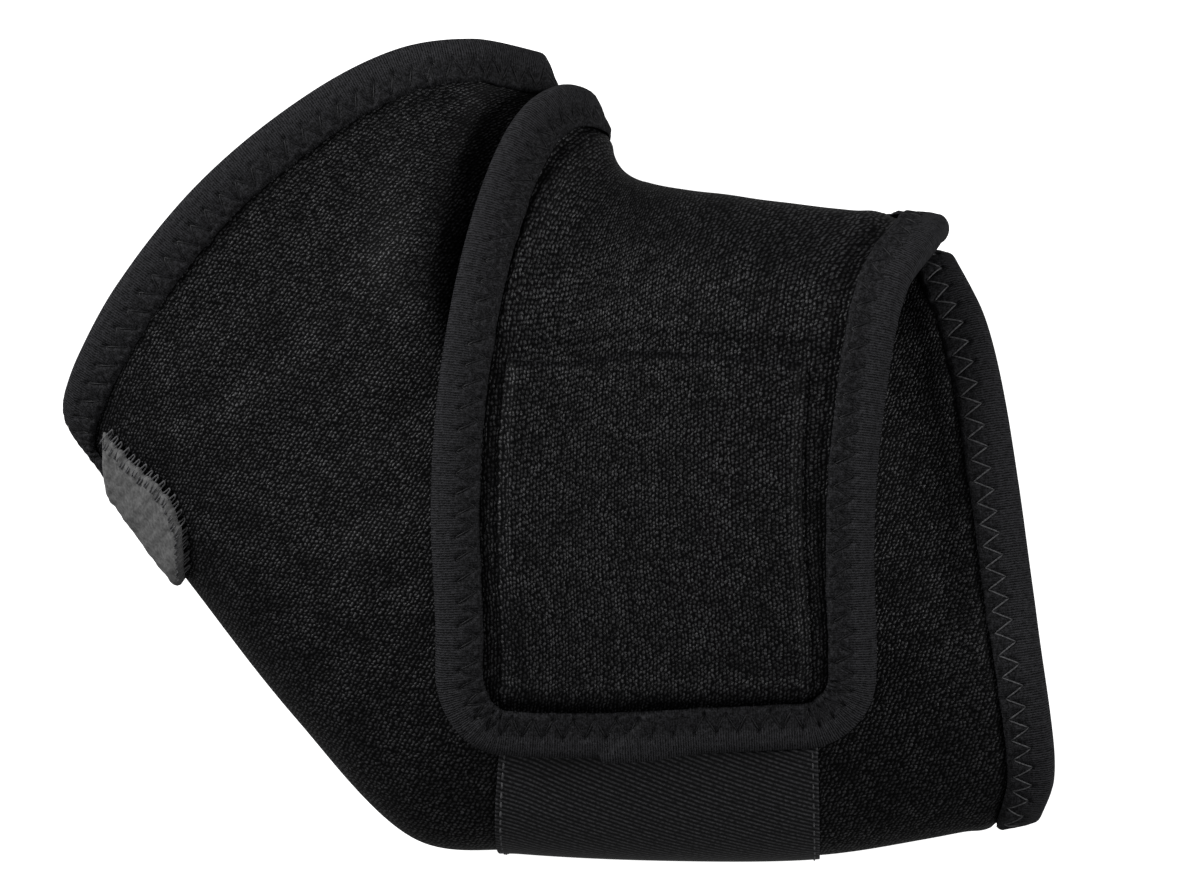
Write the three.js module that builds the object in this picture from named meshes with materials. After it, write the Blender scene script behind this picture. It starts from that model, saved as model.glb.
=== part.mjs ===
// A neoprene elbow support, lying on its back on a table, bent as it sits on an arm.
// A soft sleeve of laminated neoprene runs from the upper arm round the elbow to the forearm. Its upper end
// is slit along the elbow side, and a tab of hook tape bridges the slit. A wide flap is sewn on behind the
// crook, comes over the crook and closes on the sleeve's front with a sewn-on patch of hook tape. Every free
// edge is bound with folded tape, and a plain woven label is sewn over the elbow side.
// Millimetres, +Z up. The forearm points along +X, and the origin is the middle of the footprint.
import * as THREE from "three";

// Driving sizes of the sleeve.
const elbowAngle = 124; // degrees from the forearm's axis to the upper arm's
const upperLength = 84; // elbow centre to the chord of the upper opening
const forearmLength = 118; // elbow centre to the middle of the forearm opening
const upperOpeningWidth = 142; // across the flat sleeve
const forearmOpeningWidth = 130;
const upperOpeningBulge = 36; // how far the curved edge stands out from its chord
const forearmOpeningBulge = 7;
const sleeveHeight = 54; // off the table, at the elbow
const foldHeight = 21.6; // of the two side folds, off the table
const openingLift = 4; // how far the back stands off the table at the openings
const backSink = 2.5; // how deep the back is pressed flat where it lies on the table
const sleeveWall = 4; // neoprene laminated between two layers of jersey
const frontRoundness = 2.25; // 2 is an ellipse, and more is boxier
const backRoundness = 2.5;

// Driving sizes of the edge tape, which is folded round each free edge.
const tapeWidth = 10.3; // of one folded side
const tapeThickness = 0.9;
const seatGap = 0.45; // between pieces that lie on each other

// Driving sizes of the slit and its tab.
const slitLength = 62; // along the elbow side, from the upper opening
const slitGap = 3.4; // between its two edges
const slitSetback = 6; // of the slit, from the elbow-side fold round to the back
const cornerRadius = 15; // where the slit meets the opening
const tabLength = 28; // of the hook tape, along the elbow-side fold
const tabFromOpening = 22;
const tabLean = 9.5; // how far its upper front corner leans towards the opening
const tabFrontReach = 18; // from the elbow-side fold to that corner
const tabTaper = 0.15; // how much shorter the reach is at its lower edge, as a share
const tabBackReach = 18; // from that fold to its sewn end on the back
const hookThickness = 1.8;

// Driving sizes of the flap.
const flapWidth = 105; // at its free end
const flapDrop = 138.5; // from the crook fold to the free end, over the front
const flapWall = 4;
const flapCorner = 15; // radius of the free end's two corners
const flapTail = 17; // from the crook fold to the sewn end on the back
const flapLift = 9; // how far the flap's edge stands off the sleeve where it bridges a hollow
const flapEvening = 0.11; // evens out its columns, which the fan of sections would spread unevenly
const padRelief = 1; // how far the hook patch pushes the flap's face out
const padRamp = 5; // width of the slope round that relief
const hookPatchWidth = 75;
const hookPatchLength = 81;
const hookPatchInset = 10.6; // from the flap's free end to the patch

// Driving sizes of the label.
const labelLength = 76; // along the elbow side
const labelLean = 7; // how far its upper left corner leans out
const labelRise = 38; // from the elbow-side fold up the front, the last of it under the flap
const labelWrap = 9; // from that fold round to the back
const labelThickness = 0.5;
const labelStation = 0.453; // where it starts

const radians = THREE.MathUtils.degToRad;
const fullTurn = 2 * Math.PI;
const tiny = 1e-3; // step of the numerical slopes

// The two limbs' axes, from the elbow centre, each with the direction across it that points to the crook.
const upperArm = {
  axis: new THREE.Vector2(Math.cos(radians(elbowAngle)), Math.sin(radians(elbowAngle))),
  across: new THREE.Vector2(Math.sin(radians(elbowAngle)), -Math.cos(radians(elbowAngle))),
  length: upperLength,
  halfWidth: upperOpeningWidth / 2,
};
const forearm = {
  axis: new THREE.Vector2(1, 0),
  across: new THREE.Vector2(0, 1),
  length: forearmLength,
  halfWidth: forearmOpeningWidth / 2,
};

// The sleeve's cross-sections, which fan round the elbow from the upper opening (station 0) to the
// forearm's (1). outer is a section's end on the elbow side and inner its end on the crook side: along is a
// share of the limb's length and across a share of half its opening. height is a share of sleeveHeight, lift
// a share of openingLift, and bulge a share of the nearer opening's bulge.
const sections = [
  { station: 0, limb: upperArm, height: 0.86, lift: 1, bulge: 1,
    outerAlong: 0.98, outerAcross: -1, innerAlong: 0.84, innerAcross: 1 },
  { station: 0.08, limb: upperArm, height: 0.9, lift: 0.9, bulge: 0.6,
    outerAlong: 0.66, outerAcross: -0.98, innerAlong: 0.81, innerAcross: 0.97 },
  { station: 0.16, limb: upperArm, height: 0.94, lift: 0.5, bulge: 0.3,
    outerAlong: 0.36, outerAcross: -0.965, innerAlong: 0.75, innerAcross: 0.94 },
  { station: 0.28, limb: upperArm, height: 1, lift: 0, bulge: 0.06,
    outerAlong: -0.11, outerAcross: -0.925, innerAlong: 0.64, innerAcross: 0.92 },
  { station: 0.38, limb: forearm, height: 1, lift: 0, bulge: 0,
    outerAlong: -0.185, outerAcross: -1.12, innerAlong: 0.26, innerAcross: 1.18 },
  { station: 0.47, limb: forearm, height: 0.98, lift: 0, bulge: 0,
    outerAlong: 0.04, outerAcross: -1.17, innerAlong: 0.33, innerAcross: 1.15 },
  { station: 0.6, limb: forearm, height: 0.96, lift: 0, bulge: 0,
    outerAlong: 0.34, outerAcross: -1.195, innerAlong: 0.45, innerAcross: 1.13 },
  { station: 0.735, limb: forearm, height: 0.94, lift: 0, bulge: 0,
    outerAlong: 0.63, outerAcross: -1.19, innerAlong: 0.6, innerAcross: 1.09 },
  { station: 0.87, limb: forearm, height: 0.91, lift: 0.3, bulge: 0.4,
    outerAlong: 0.87, outerAcross: -1.13, innerAlong: 0.75, innerAcross: 1.04 },
  { station: 1, limb: forearm, height: 0.88, lift: 0.9, bulge: 1,
    outerAlong: 1.12, outerAcross: -1.045, innerAlong: 0.87, innerAcross: 1 },
];

// How far each opening's edge stands out from its chord, as a share of the bulge, from the elbow-side fold
// (across 0) to the crook fold (across 1).
const upperEdge = [
  { across: 0, reach: 0 },
  { across: 0.07, reach: 0.22 },
  { across: 0.2, reach: 0.52 },
  { across: 0.4, reach: 0.83 },
  { across: 0.62, reach: 0.99 },
  { across: 0.8, reach: 0.98 },
  { across: 0.92, reach: 0.8 },
  { across: 1, reach: 0.52 },
];
const forearmEdge = [
  { across: 0, reach: -0.6 },
  { across: 0.06, reach: 0 },
  { across: 0.15, reach: 0.3 },
  { across: 0.4, reach: 0.65 },
  { across: 0.6, reach: 0.98 },
  { across: 0.78, reach: 1.2 },
  { across: 0.9, reach: 1.15 },
  { across: 1, reach: 0.7 },
];
const backEdgeShare = 0.8; // the back's edges are cut a little shorter

// Hollows and ridges of the front. Each runs straight between two places, and depth is a share of
// sleeveHeight, negative for a ridge. spread is its half width, in shares of the section.
const creases = [
  { fromStation: 0.03, fromAcross: 1, toStation: 0.21, toAcross: 0.68, depth: 0.12, spread: 0.06 },
  { fromStation: 0.05, fromAcross: 0.86, toStation: 0.18, toAcross: 0.58, depth: -0.05, spread: 0.07 },
  { fromStation: 0.02, fromAcross: 0.3, toStation: 0.2, toAcross: 0.34, depth: 0.035, spread: 0.1 },
  { fromStation: 0.88, fromAcross: 0.9, toStation: 0.93, toAcross: 0.4, depth: 0.06, spread: 0.08 },
];

// A smooth curve through one column of a table, read at a value of another column.
function readTable(rows, key, at, column) {
  const last = rows.length - 2;
  let i = 0;
  while (i < last && at > rows[i + 1][key]) i++;
  const slope = (a, b) => (rows[b][column] - rows[a][column]) / (rows[b][key] - rows[a][key]);
  const here = slope(i, i + 1);
  const span = rows[i + 1][key] - rows[i][key];
  const start = i > 0 ? slope(i - 1, i + 1) : here;
  const end = i < last ? slope(i, i + 2) : here;
  const t = (at - rows[i][key]) / span;
  const ease = t * t * (3 - 2 * t);
  return (
    rows[i][column] * (1 - ease) +
    rows[i + 1][column] * ease +
    span * (start * t * (1 - t) ** 2 - end * t * t * (1 - t))
  );
}

// The sections with their ends as places on the table.
const placedSections = sections.map((row) => {
  const { limb } = row;
  const end = (along, across) =>
    new THREE.Vector2()
      .addScaledVector(limb.axis, along * limb.length)
      .addScaledVector(limb.across, across * limb.halfWidth);
  const outer = end(row.outerAlong, row.outerAcross);
  const inner = end(row.innerAlong, row.innerAcross);
  return { ...row, outerX: outer.x, outerY: outer.y, innerX: inner.x, innerY: inner.y };
});

// How far the creases lower the front at a place.
function creaseDepth(station, across) {
  let depth = 0;
  for (const crease of creases) {
    const from = new THREE.Vector2(crease.fromStation, crease.fromAcross);
    const run = new THREE.Vector2(crease.toStation, crease.toAcross).sub(from);
    const place = new THREE.Vector2(station, across).sub(from);
    const share = THREE.MathUtils.clamp(place.dot(run) / run.lengthSq(), 0, 1);
    const distance = place.distanceTo(run.multiplyScalar(share));
    depth += crease.depth * sleeveHeight * Math.exp(-((distance / crease.spread) ** 2));
  }
  return depth;
}

// The sleeve's outer face, with its creases where creased is 1. turn runs round the section in radians: 0 at
// the elbow-side fold, rising over the front to pi at the crook fold, and back underneath.
function smoothSkin(station, turn, creased = 0) {
  const read = (column) => readTable(placedSections, "station", station, column);
  const onFront = Math.sin(turn) >= 0;
  const power = 2 / (onFront ? frontRoundness : backRoundness);
  const side = Math.cos(turn);
  const rise = Math.abs(Math.sin(turn)) ** power;
  const across = (1 - Math.sign(side) * Math.abs(side) ** power) / 2;
  const lift = Math.max(0, read("lift")) * openingLift;
  const top = read("height") * sleeveHeight - creased * creaseDepth(station, across);
  const front = foldHeight + (top - foldHeight) * rise;
  const back = Math.max(lift, foldHeight - (foldHeight - lift + backSink) * rise);
  const nearUpper = station < 0.5;
  const edge = readTable(nearUpper ? upperEdge : forearmEdge, "across", across, "reach");
  const bulge = Math.max(0, read("bulge")) * (nearUpper ? upperOpeningBulge : forearmOpeningBulge);
  const stand = edge * bulge * (onFront ? 1 : 1 - (1 - backEdgeShare) * rise);
  const { axis } = nearUpper ? upperArm : forearm;
  return new THREE.Vector3(
    read("outerX") * (1 - across) + read("innerX") * across + axis.x * stand,
    read("outerY") * (1 - across) + read("innerY") * across + axis.y * stand,
    onFront ? front : back,
  );
}
const sleeveSkin = (station, turn) => smoothSkin(station, turn, 1);

// The slopes and the outward normal of a surface, which is a function of two numbers.
function slopes(surface, u, v) {
  const alongU = surface(u + tiny, v).sub(surface(u - tiny, v)).divideScalar(2 * tiny);
  const alongV = surface(u, v + tiny).sub(surface(u, v - tiny)).divideScalar(2 * tiny);
  return { alongU, alongV, normal: alongU.clone().cross(alongV).normalize() };
}

// The point that stands off a surface by a distance, which is negative for one inside it.
function standOff(surface, [u, v], distance) {
  return surface(u, v).addScaledVector(slopes(surface, u, v).normal, distance);
}

// Walks over a surface from a place, starting in a direction, and gives the place that it reaches.
function walk(surface, [u, v], direction, distance) {
  const steps = 4;
  const heading = direction.clone();
  for (let step = 0; step < steps; step++) {
    const { alongU, alongV, normal } = slopes(surface, u, v);
    heading.addScaledVector(normal, -heading.dot(normal)).normalize();
    const uu = alongU.lengthSq();
    const vv = alongV.lengthSq();
    const uv = alongU.dot(alongV);
    const scale = distance / steps / (uu * vv - uv * uv);
    u += scale * (heading.dot(alongU) * vv - heading.dot(alongV) * uv);
    v += scale * (heading.dot(alongV) * uu - heading.dot(alongU) * uv);
  }
  return [u, v];
}

// How far a value has to move from a start for its point to travel a distance along a curve.
function valueAfter(curve, from, distance, step) {
  let value = from;
  let left = Math.abs(distance);
  let here = curve(value);
  while (left > 0) {
    const next = curve(value + step * Math.sign(distance));
    const length = next.distanceTo(here);
    value += step * Math.sign(distance) * Math.min(1, left / length);
    left -= length;
    here = next;
  }
  return value;
}

// The turn that lies a distance round a section from another turn, and the station that lies a distance down
// the elbow-side fold from another station.
const turnStep = radians(2);
const turnAfter = (station, from, distance) =>
  valueAfter((turn) => smoothSkin(station, turn), from, distance, turnStep);
const stationStep = 0.002;
const stationAfter = (from, distance) =>
  valueAfter((station) => smoothSkin(station, 0), from, distance, stationStep);

const spread = (from, to, count) =>
  Array.from({ length: count + 1 }, (_, i) => THREE.MathUtils.lerp(from, to, i / count));

// A closed body between two offsets of a grid of places on a surface. Places that lie on each other are
// joined, so a grid that meets itself becomes a tube.
function shell(surface, places, inside, outside) {
  const points = [];
  const found = new Map();
  const corner = (place) => {
    const outer = standOff(surface, place, outside(...place));
    const key = outer.toArray().map((value) => Math.round(value * 1000)).join();
    if (!found.has(key)) {
      found.set(key, points.length);
      points.push([outer, standOff(surface, place, inside(...place))]);
    }
    return found.get(key);
  };
  const grid = places.map((row) => row.map(corner));
  const faces = [];
  for (let i = 0; i + 1 < grid.length; i++) {
    for (let j = 0; j + 1 < grid[i].length; j++) {
      const [a, b, c, d] = [grid[i][j], grid[i + 1][j], grid[i + 1][j + 1], grid[i][j + 1]];
      faces.push([a, b, c], [a, c, d]);
    }
  }
  const solidFaces = faces.filter(([a, b, c]) => a !== b && b !== c && c !== a);
  const edges = new Set(solidFaces.flatMap(([a, b, c]) => [`${a},${b}`, `${b},${c}`, `${c},${a}`]));
  const index = [];
  for (const [a, b, c] of solidFaces) {
    index.push(2 * a, 2 * b, 2 * c, 2 * a + 1, 2 * c + 1, 2 * b + 1);
    for (const [from, to] of [[a, b], [b, c], [c, a]]) {
      if (edges.has(`${to},${from}`)) continue;
      index.push(2 * to, 2 * from, 2 * from + 1, 2 * to, 2 * from + 1, 2 * to + 1);
    }
  }
  return solid(points.flat(), index);
}

// A closed body swept through rings of points, from a first ring to a last, or round again to the first.
function sweep(rings, outline, closed) {
  const size = outline.length;
  const index = [];
  const count = closed ? rings.length : rings.length - 1;
  for (let i = 0; i < count; i++) {
    const next = ((i + 1) % rings.length) * size;
    for (let k = 0; k < size; k++) {
      const l = (k + 1) % size;
      const [a, b, c, d] = [i * size + k, i * size + l, next + l, next + k];
      index.push(a, b, c, a, c, d);
    }
  }
  if (!closed) {
    const last = (rings.length - 1) * size;
    for (const [a, b, c] of THREE.ShapeUtils.triangulateShape(outline, [])) {
      index.push(a, c, b, last + a, last + b, last + c);
    }
  }
  return solid(rings.flat(), index);
}

function solid(points, index) {
  const geometry = new THREE.BufferGeometry().setFromPoints(points);
  geometry.setIndex(index);
  geometry.computeVertexNormals();
  return geometry;
}

// The folded tape's section round an edge of a wall: x is the distance in from the edge, and y the height
// over the wall's outer face. It has points between its ends, so that it follows a wall that curves.
function tapeOutline(wall) {
  const over = seatGap + tapeThickness;
  const under = -wall - seatGap;
  const inward = [tapeWidth, tapeWidth / 2];
  const bend = tapeThickness / 2; // how far the fold's corners are rounded
  const points = [
    ...inward.map((x) => [x, over]),
    [bend / 2, over],
    [-over, -bend],
    [-over, -wall + bend],
    [bend / 2, under - tapeThickness],
    ...inward.toReversed().map((x) => [x, under - tapeThickness]),
    ...inward.map((x) => [x, under]),
    [-seatGap, under],
    [-seatGap, seatGap],
    ...inward.toReversed().map((x) => [x, seatGap]),
  ];
  return points.map(([x, y]) => new THREE.Vector2(x, y));
}

// Edge tape folded round a wall along a row of places on its edge. The wall lies on the left of the path,
// seen from outside.
function tape(surface, edge, wall, closed) {
  const outline = tapeOutline(wall);
  const count = edge.length;
  const stay = (i) => (closed ? (i + count) % count : THREE.MathUtils.clamp(i, 0, count - 1));
  const at = (i) => surface(...edge[stay(i)]);
  const rings = edge.map((place, i) => {
    const along = at(i + 1).sub(at(i - 1)).normalize();
    const { normal } = slopes(surface, ...place);
    const inward = normal.clone().cross(along).normalize();
    const inner = new Map();
    return outline.map(({ x, y }) => {
      if (x <= 0) return standOff(surface, place, y).addScaledVector(inward, x);
      if (!inner.has(x)) inner.set(x, walk(surface, place, inward, x));
      return standOff(surface, inner.get(x), y);
    });
  });
  return sweep(rings, outline, closed);
}

// The quarter round of a corner, as rows of distance from its start and inset of the edge there.
function quarterRound(radius, steps) {
  return spread(0, 90, steps).map((angle) => ({
    distance: radius * (1 - Math.cos(radians(angle))),
    inset: radius * (1 - Math.sin(radians(angle))),
  }));
}

// The slit's two edges. Each starts in a quarter round at the opening, and they meet at the slit's end.
const slitCorner = quarterRound(cornerRadius, 5);
const slitEnd = stationAfter(0, slitLength);
const slitRow = (station, opening) => ({ station, opening });
const slitStraight = spread(stationAfter(0, cornerRadius), slitEnd, 5).slice(1, -1);
const slitRows = [
  ...slitCorner.map(({ distance, inset }) => slitRow(stationAfter(0, distance), inset + slitGap / 2)),
  ...slitStraight.map((station) => slitRow(station, slitGap / 2)),
  slitRow(slitEnd, 0),
];
const tapeInset = 1 - (stationAfter(0.9, tapeWidth) - 0.9);
const sleeveRows = [
  ...slitRows,
  ...spread(slitEnd, tapeInset, 13).slice(1).map((station) => slitRow(station, 0)),
  ...spread(tapeInset, 1, 2).slice(1).map((station) => slitRow(station, 0)),
];
const sleeveColumns = 40;

// The sleeve's grid starts and ends at the slit, and closes into a tube beyond it.
function sleevePlaces() {
  return sleeveRows.map(({ station, opening }) => {
    const first = turnAfter(station, 0, opening - slitSetback);
    const last = fullTurn + turnAfter(station, 0, -opening - slitSetback);
    return spread(first, last, sleeveColumns).map((turn) => [station, turn]);
  });
}

// The path of the upper opening's tape: up one side of the slit, round the opening and down the other side.
function upperTapeEdge(places) {
  const slitSides = places.slice(0, slitRows.length - 1);
  const back = slitSides.map((row) => row.at(-1));
  const front = slitSides.map((row) => row[0]);
  const round = places[0].slice(1, -1);
  return [...back.toReversed(), ...round.toReversed(), ...front];
}

// A patch on the sleeve that crosses the elbow-side fold. The reaches are distances round from the fold.
function foldPatch(fromStation, length, lean, backReach, frontReach, taper, rows, columns) {
  return spread(0, 1, rows).map((share) =>
    spread(-backReach, frontReach * (1 - taper * share), columns).map((round) => {
      const down = share * length - (1 - share) * lean * (round / frontReach);
      const station = stationAfter(fromStation, down);
      return [station, turnAfter(station, 0, round)];
    }),
  );
}

// The flap lies over the sleeve. across runs over it from its edge on the upper arm (0) to the one on the
// forearm (1), and up runs from its free end (0) to the crook fold (1) and on to its sewn end behind (2).
// middle is the station of its middle line, and left and right are the edges' shares of flapWidth from there.
// liftLeft and liftRight are how far those edges stand off the sleeve, as shares of flapLift.
const flapRows = [
  { up: 0, middle: 0.57, left: -0.46, right: 0.5, liftLeft: 0, liftRight: 0 },
  { up: 0.15, middle: 0.565, left: -0.465, right: 0.49, liftLeft: 0, liftRight: 0 },
  { up: 0.35, middle: 0.55, left: -0.48, right: 0.46, liftLeft: 0, liftRight: 0.1 },
  { up: 0.6, middle: 0.53, left: -0.48, right: 0.43, liftLeft: 0.1, liftRight: 0.5 },
  { up: 0.8, middle: 0.52, left: -0.47, right: 0.41, liftLeft: 0.25, liftRight: 1 },
  { up: 0.92, middle: 0.52, left: -0.452, right: 0.45, liftLeft: 0.2, liftRight: 0.6 },
  { up: 1, middle: 0.52, left: -0.42, right: 0.46, liftLeft: 0.1, liftRight: 0.16 },
  { up: 2, middle: 0.52, left: -0.4, right: 0.34, liftLeft: 0, liftRight: 0 },
];
const freeEndSlant = -0.06; // how much further the flap reaches on its left, and less far on its right

const flapSeat = seatGap + hookThickness + seatGap; // from the sleeve to the flap's inner face
const tailSeat = seatGap + tapeThickness + seatGap;
const millimetresPerStation = (station, turn) => slopes(smoothSkin, station, turn).alongU.length();

// The place on the sleeve that a place on the flap lies over.
function underFlap(across, up) {
  const read = (column) => readTable(flapRows, "up", up, column);
  const middle = read("middle");
  const evened = across - flapEvening * across * (1 - across);
  const side = THREE.MathUtils.lerp(read("left"), read("right"), evened);
  const length = flapDrop * (1 + freeEndSlant * (2 * across - 1));
  const fromFold = up < 1 ? (up - 1) * length : (up - 1) * flapTail;
  const middleTurn = turnAfter(middle, Math.PI, fromFold);
  const station = middle + (side * flapWidth) / millimetresPerStation(middle, middleTurn);
  return [station, turnAfter(station, Math.PI, fromFold)];
}

// The flap's outer face, without the relief of the hook patch.
function flapSkin(across, up) {
  const onTail = THREE.MathUtils.smoothstep(up, 1, 2);
  const seat = THREE.MathUtils.lerp(flapSeat, tailSeat, onTail);
  const read = (column) => Math.max(0, readTable(flapRows, "up", up, column));
  const lift = read("liftLeft") * (1 - across) ** 2 + read("liftRight") * across ** 2;
  return standOff(smoothSkin, underFlap(across, up), seat + lift * flapLift + flapWall);
}

const patchMargin = (1 - hookPatchWidth / flapWidth) / 2;
const patchFoot = hookPatchInset / flapDrop;
const patchTop = (hookPatchInset + hookPatchLength) / flapDrop;

// How far the hook patch under the flap pushes its face out: fully inside the patch, sloping off to its edge.
function padHeight(across, up) {
  const beside = Math.min(across - patchMargin, 1 - patchMargin - across) * flapWidth;
  const along = Math.min(up - patchFoot, patchTop - up) * flapDrop;
  return padRelief * THREE.MathUtils.smoothstep(Math.min(beside, along), 0, padRamp);
}

// The flap's grid: its free end has two rounded corners, and lines of the grid follow the hook patch.
const flapCornerRows = quarterRound(flapCorner, 5).map(({ distance, inset }) => ({
  up: distance / flapDrop,
  inset: inset / flapWidth,
}));
const patchInside = [patchFoot + (2 * padRamp) / flapDrop, 0.3, 0.42, 0.54, patchTop - padRamp / flapDrop];
const patchUps = [...patchInside, patchTop];
const bendUps = [0.74, 0.79, 0.83, 0.87, 0.91, 0.94, 0.97, 1, 1.1, 1.2, 1.3, 1.4, 1.55, 1.7, 2];
const straightUps = [...patchUps.filter((up) => up > flapCorner / flapDrop), ...bendUps];
const flapUps = [...flapCornerRows, ...straightUps.map((up) => ({ up, inset: 0 }))];
const tapeShare = tapeWidth / flapWidth;
const flapSide = [0, tapeShare / 2, tapeShare, patchMargin, patchMargin + padRamp / flapWidth];
const otherSide = flapSide.map((across) => 1 - across).toReversed();
const flapColumns = [...flapSide, 0.28, 0.37, 0.46, 0.57, 0.69, ...otherSide];

function flapPlaces() {
  return flapColumns.map((across) =>
    flapUps.map(({ up, inset }) => [THREE.MathUtils.lerp(inset, 1 - inset, across), up]),
  );
}

// The path of the flap's tape: from the sewn end down the left edge, round the free end and up the right.
function flapTapeEdge(places) {
  const left = places[0].toReversed();
  const foot = places.slice(1, -1).map((column) => column[0]);
  return [...left, ...foot, ...places.at(-1)];
}

function hookPatch() {
  const places = spread(patchMargin, 1 - patchMargin, 6).map((across) =>
    spread(patchFoot, patchTop, 8).map((up) => [across, up]),
  );
  const top = () => -flapWall - seatGap;
  return shell(flapSkin, places, () => top() - hookThickness, top);
}

function slitTab() {
  const start = stationAfter(0, tabFromOpening);
  const places = foldPatch(start, tabLength, tabLean, tabBackReach, tabFrontReach, tabTaper, 5, 9);
  const stand = seatGap + tapeThickness + seatGap;
  return shell(smoothSkin, places, () => stand, () => stand + hookThickness);
}

function label() {
  const places = foldPatch(labelStation, labelLength, labelLean, labelWrap, labelRise, 0, 8, 10);
  return shell(smoothSkin, places, () => seatGap, () => seatGap + labelThickness);
}

const materials = {
  jersey: { color: 0x17171a, roughness: 0.85, metalness: 0 },
  edgeTape: { color: 0x29292c, roughness: 0.65, metalness: 0 },
  hookTape: { color: 0x5e5e60, roughness: 0.8, metalness: 0 },
  wovenLabel: { color: 0x131315, roughness: 0.7, metalness: 0 },
};

const support = new THREE.Group();
function add(name, geometry, finish) {
  const mesh = new THREE.Mesh(geometry, new THREE.MeshStandardMaterial(materials[finish]));
  mesh.name = name;
  support.add(mesh);
}

const sleeveGrid = sleevePlaces();
const flapGrid = flapPlaces();
const forearmEdgePlaces = sleeveGrid.at(-1).slice(0, -1);
add("sleeve", shell(sleeveSkin, sleeveGrid, () => -sleeveWall, () => 0), "jersey");
add("upper_edge_tape", tape(sleeveSkin, upperTapeEdge(sleeveGrid), sleeveWall, false), "edgeTape");
add("forearm_edge_tape", tape(sleeveSkin, forearmEdgePlaces, sleeveWall, true), "edgeTape");
add("slit_tab", slitTab(), "hookTape");
add("label", label(), "wovenLabel");
add("flap", shell(flapSkin, flapGrid, () => -flapWall, padHeight), "jersey");
add("flap_edge_tape", tape(flapSkin, flapTapeEdge(flapGrid), flapWall, false), "edgeTape");
add("hook_patch", hookPatch(), "hookTape");

// The origin moves to the middle of the footprint.
const footprint = new THREE.Box3().setFromObject(support);
const centre = footprint.getCenter(new THREE.Vector3());
support.position.set(-centre.x, -centre.y, 0);

export default support;
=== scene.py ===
# %% [markdown]
# # A neoprene elbow support
#
# The support lies on its back on a white table, seen from straight above. It is a bent tube of
# black neoprene foam between two layers of knitted jersey, with ribbed binding round its edges, a
# wide flap over the crook of the elbow, a tab of hook tape over its slit and a woven ribbon over
# the elbow side.
#
# Every cloth piece here is the same idea: a surface that is a function of two numbers, read on a
# fine grid, with a wall between two offsets of it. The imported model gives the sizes, and this file
# adds what the eye reads as cloth: seams that pinch the foam, soft waves, stitches, and the knit
# itself.

import math

import bpy
import numpy as np
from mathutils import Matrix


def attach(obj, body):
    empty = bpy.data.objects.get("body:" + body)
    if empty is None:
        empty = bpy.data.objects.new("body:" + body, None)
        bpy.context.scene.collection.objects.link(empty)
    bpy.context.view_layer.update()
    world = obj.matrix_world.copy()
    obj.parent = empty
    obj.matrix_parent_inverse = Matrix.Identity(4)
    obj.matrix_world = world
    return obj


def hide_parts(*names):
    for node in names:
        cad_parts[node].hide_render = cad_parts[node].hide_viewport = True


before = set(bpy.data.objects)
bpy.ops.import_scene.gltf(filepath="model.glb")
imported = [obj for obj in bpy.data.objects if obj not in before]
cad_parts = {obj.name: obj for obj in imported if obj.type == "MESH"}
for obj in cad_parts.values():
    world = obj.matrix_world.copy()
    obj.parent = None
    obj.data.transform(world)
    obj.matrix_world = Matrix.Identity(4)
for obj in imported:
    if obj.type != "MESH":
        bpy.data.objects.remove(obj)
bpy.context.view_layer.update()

# %% [markdown]
# ## Sizes
#
# The support is laid out in millimetres round the elbow's centre. The forearm points along X and
# the upper arm leans back by the elbow's angle. CENTRE is where the elbow's centre lies in the
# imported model.

# %% Sizes of the support, in millimetres
MM = 0.001
CENTRE = np.array([-13.514, -19.426, 0.0])
ELBOW_ANGLE = math.radians(124)
UPPER_AXIS = np.array([math.cos(ELBOW_ANGLE), math.sin(ELBOW_ANGLE)])
UPPER_ACROSS = np.array([math.sin(ELBOW_ANGLE), -math.cos(ELBOW_ANGLE)])
FOREARM_AXIS, FOREARM_ACROSS = np.array([1.0, 0.0]), np.array([0.0, 1.0])
UPPER_LENGTH, FOREARM_LENGTH = 84, 118
UPPER_HALF, FOREARM_HALF = 71, 65
UPPER_BULGE, FOREARM_BULGE = 36, 7
SLEEVE_HEIGHT, FOLD_HEIGHT = 54, 21.6
OPENING_LIFT, BACK_SINK = 4, 2.5
WALL = 4
FRONT_ROUND, BACK_ROUND = 2.25, 2.5  # powers of the superellipse
BACK_CORNER = 2  # the soft corner where the back is pressed flat
BACK_EDGE_SHARE = 0.2  # how much less the openings' edges stand out on the back
SEAT = 0.45
TAPE_WIDTH, TAPE_THICK = 10.3, 0.9
HOOK_THICK = 1.8
SLIT_LENGTH, SLIT_GAP, SLIT_SETBACK, SLIT_CORNER = 62, 3.4, 6, 15
FLAP_WIDTH, FLAP_DROP, FLAP_CORNER, FLAP_TAIL, FLAP_LIFT = 105, 138.5, 15, 17, 9
FLAP_EVENING = 0.11
PATCH_WIDTH, PATCH_LENGTH, PATCH_INSET = 75, 81, 10.6
TAB_LENGTH, TAB_FROM_OPENING, TAB_LEAN, TAB_FRONT, TAB_BACK = 28, 22, 9.5, 18, 18
LABEL_STATION = 0.453  # where on the sleeve the label starts, as a share of the way down
LABEL_WIDTH, LABEL_LEAN, LABEL_FRONT, LABEL_BACK, LABEL_THICK = 76, 7, 38, 9, 0.5

# %% [markdown]
# ## The sleeve's surface
#
# A sleeve on a bent arm can be read as a row of cross-sections that fan round the elbow. Each has
# one end on the elbow side and one on the crook side, and between them it is a flattened oval. A
# smooth curve through each column of a short table gives the sections in between.

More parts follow.
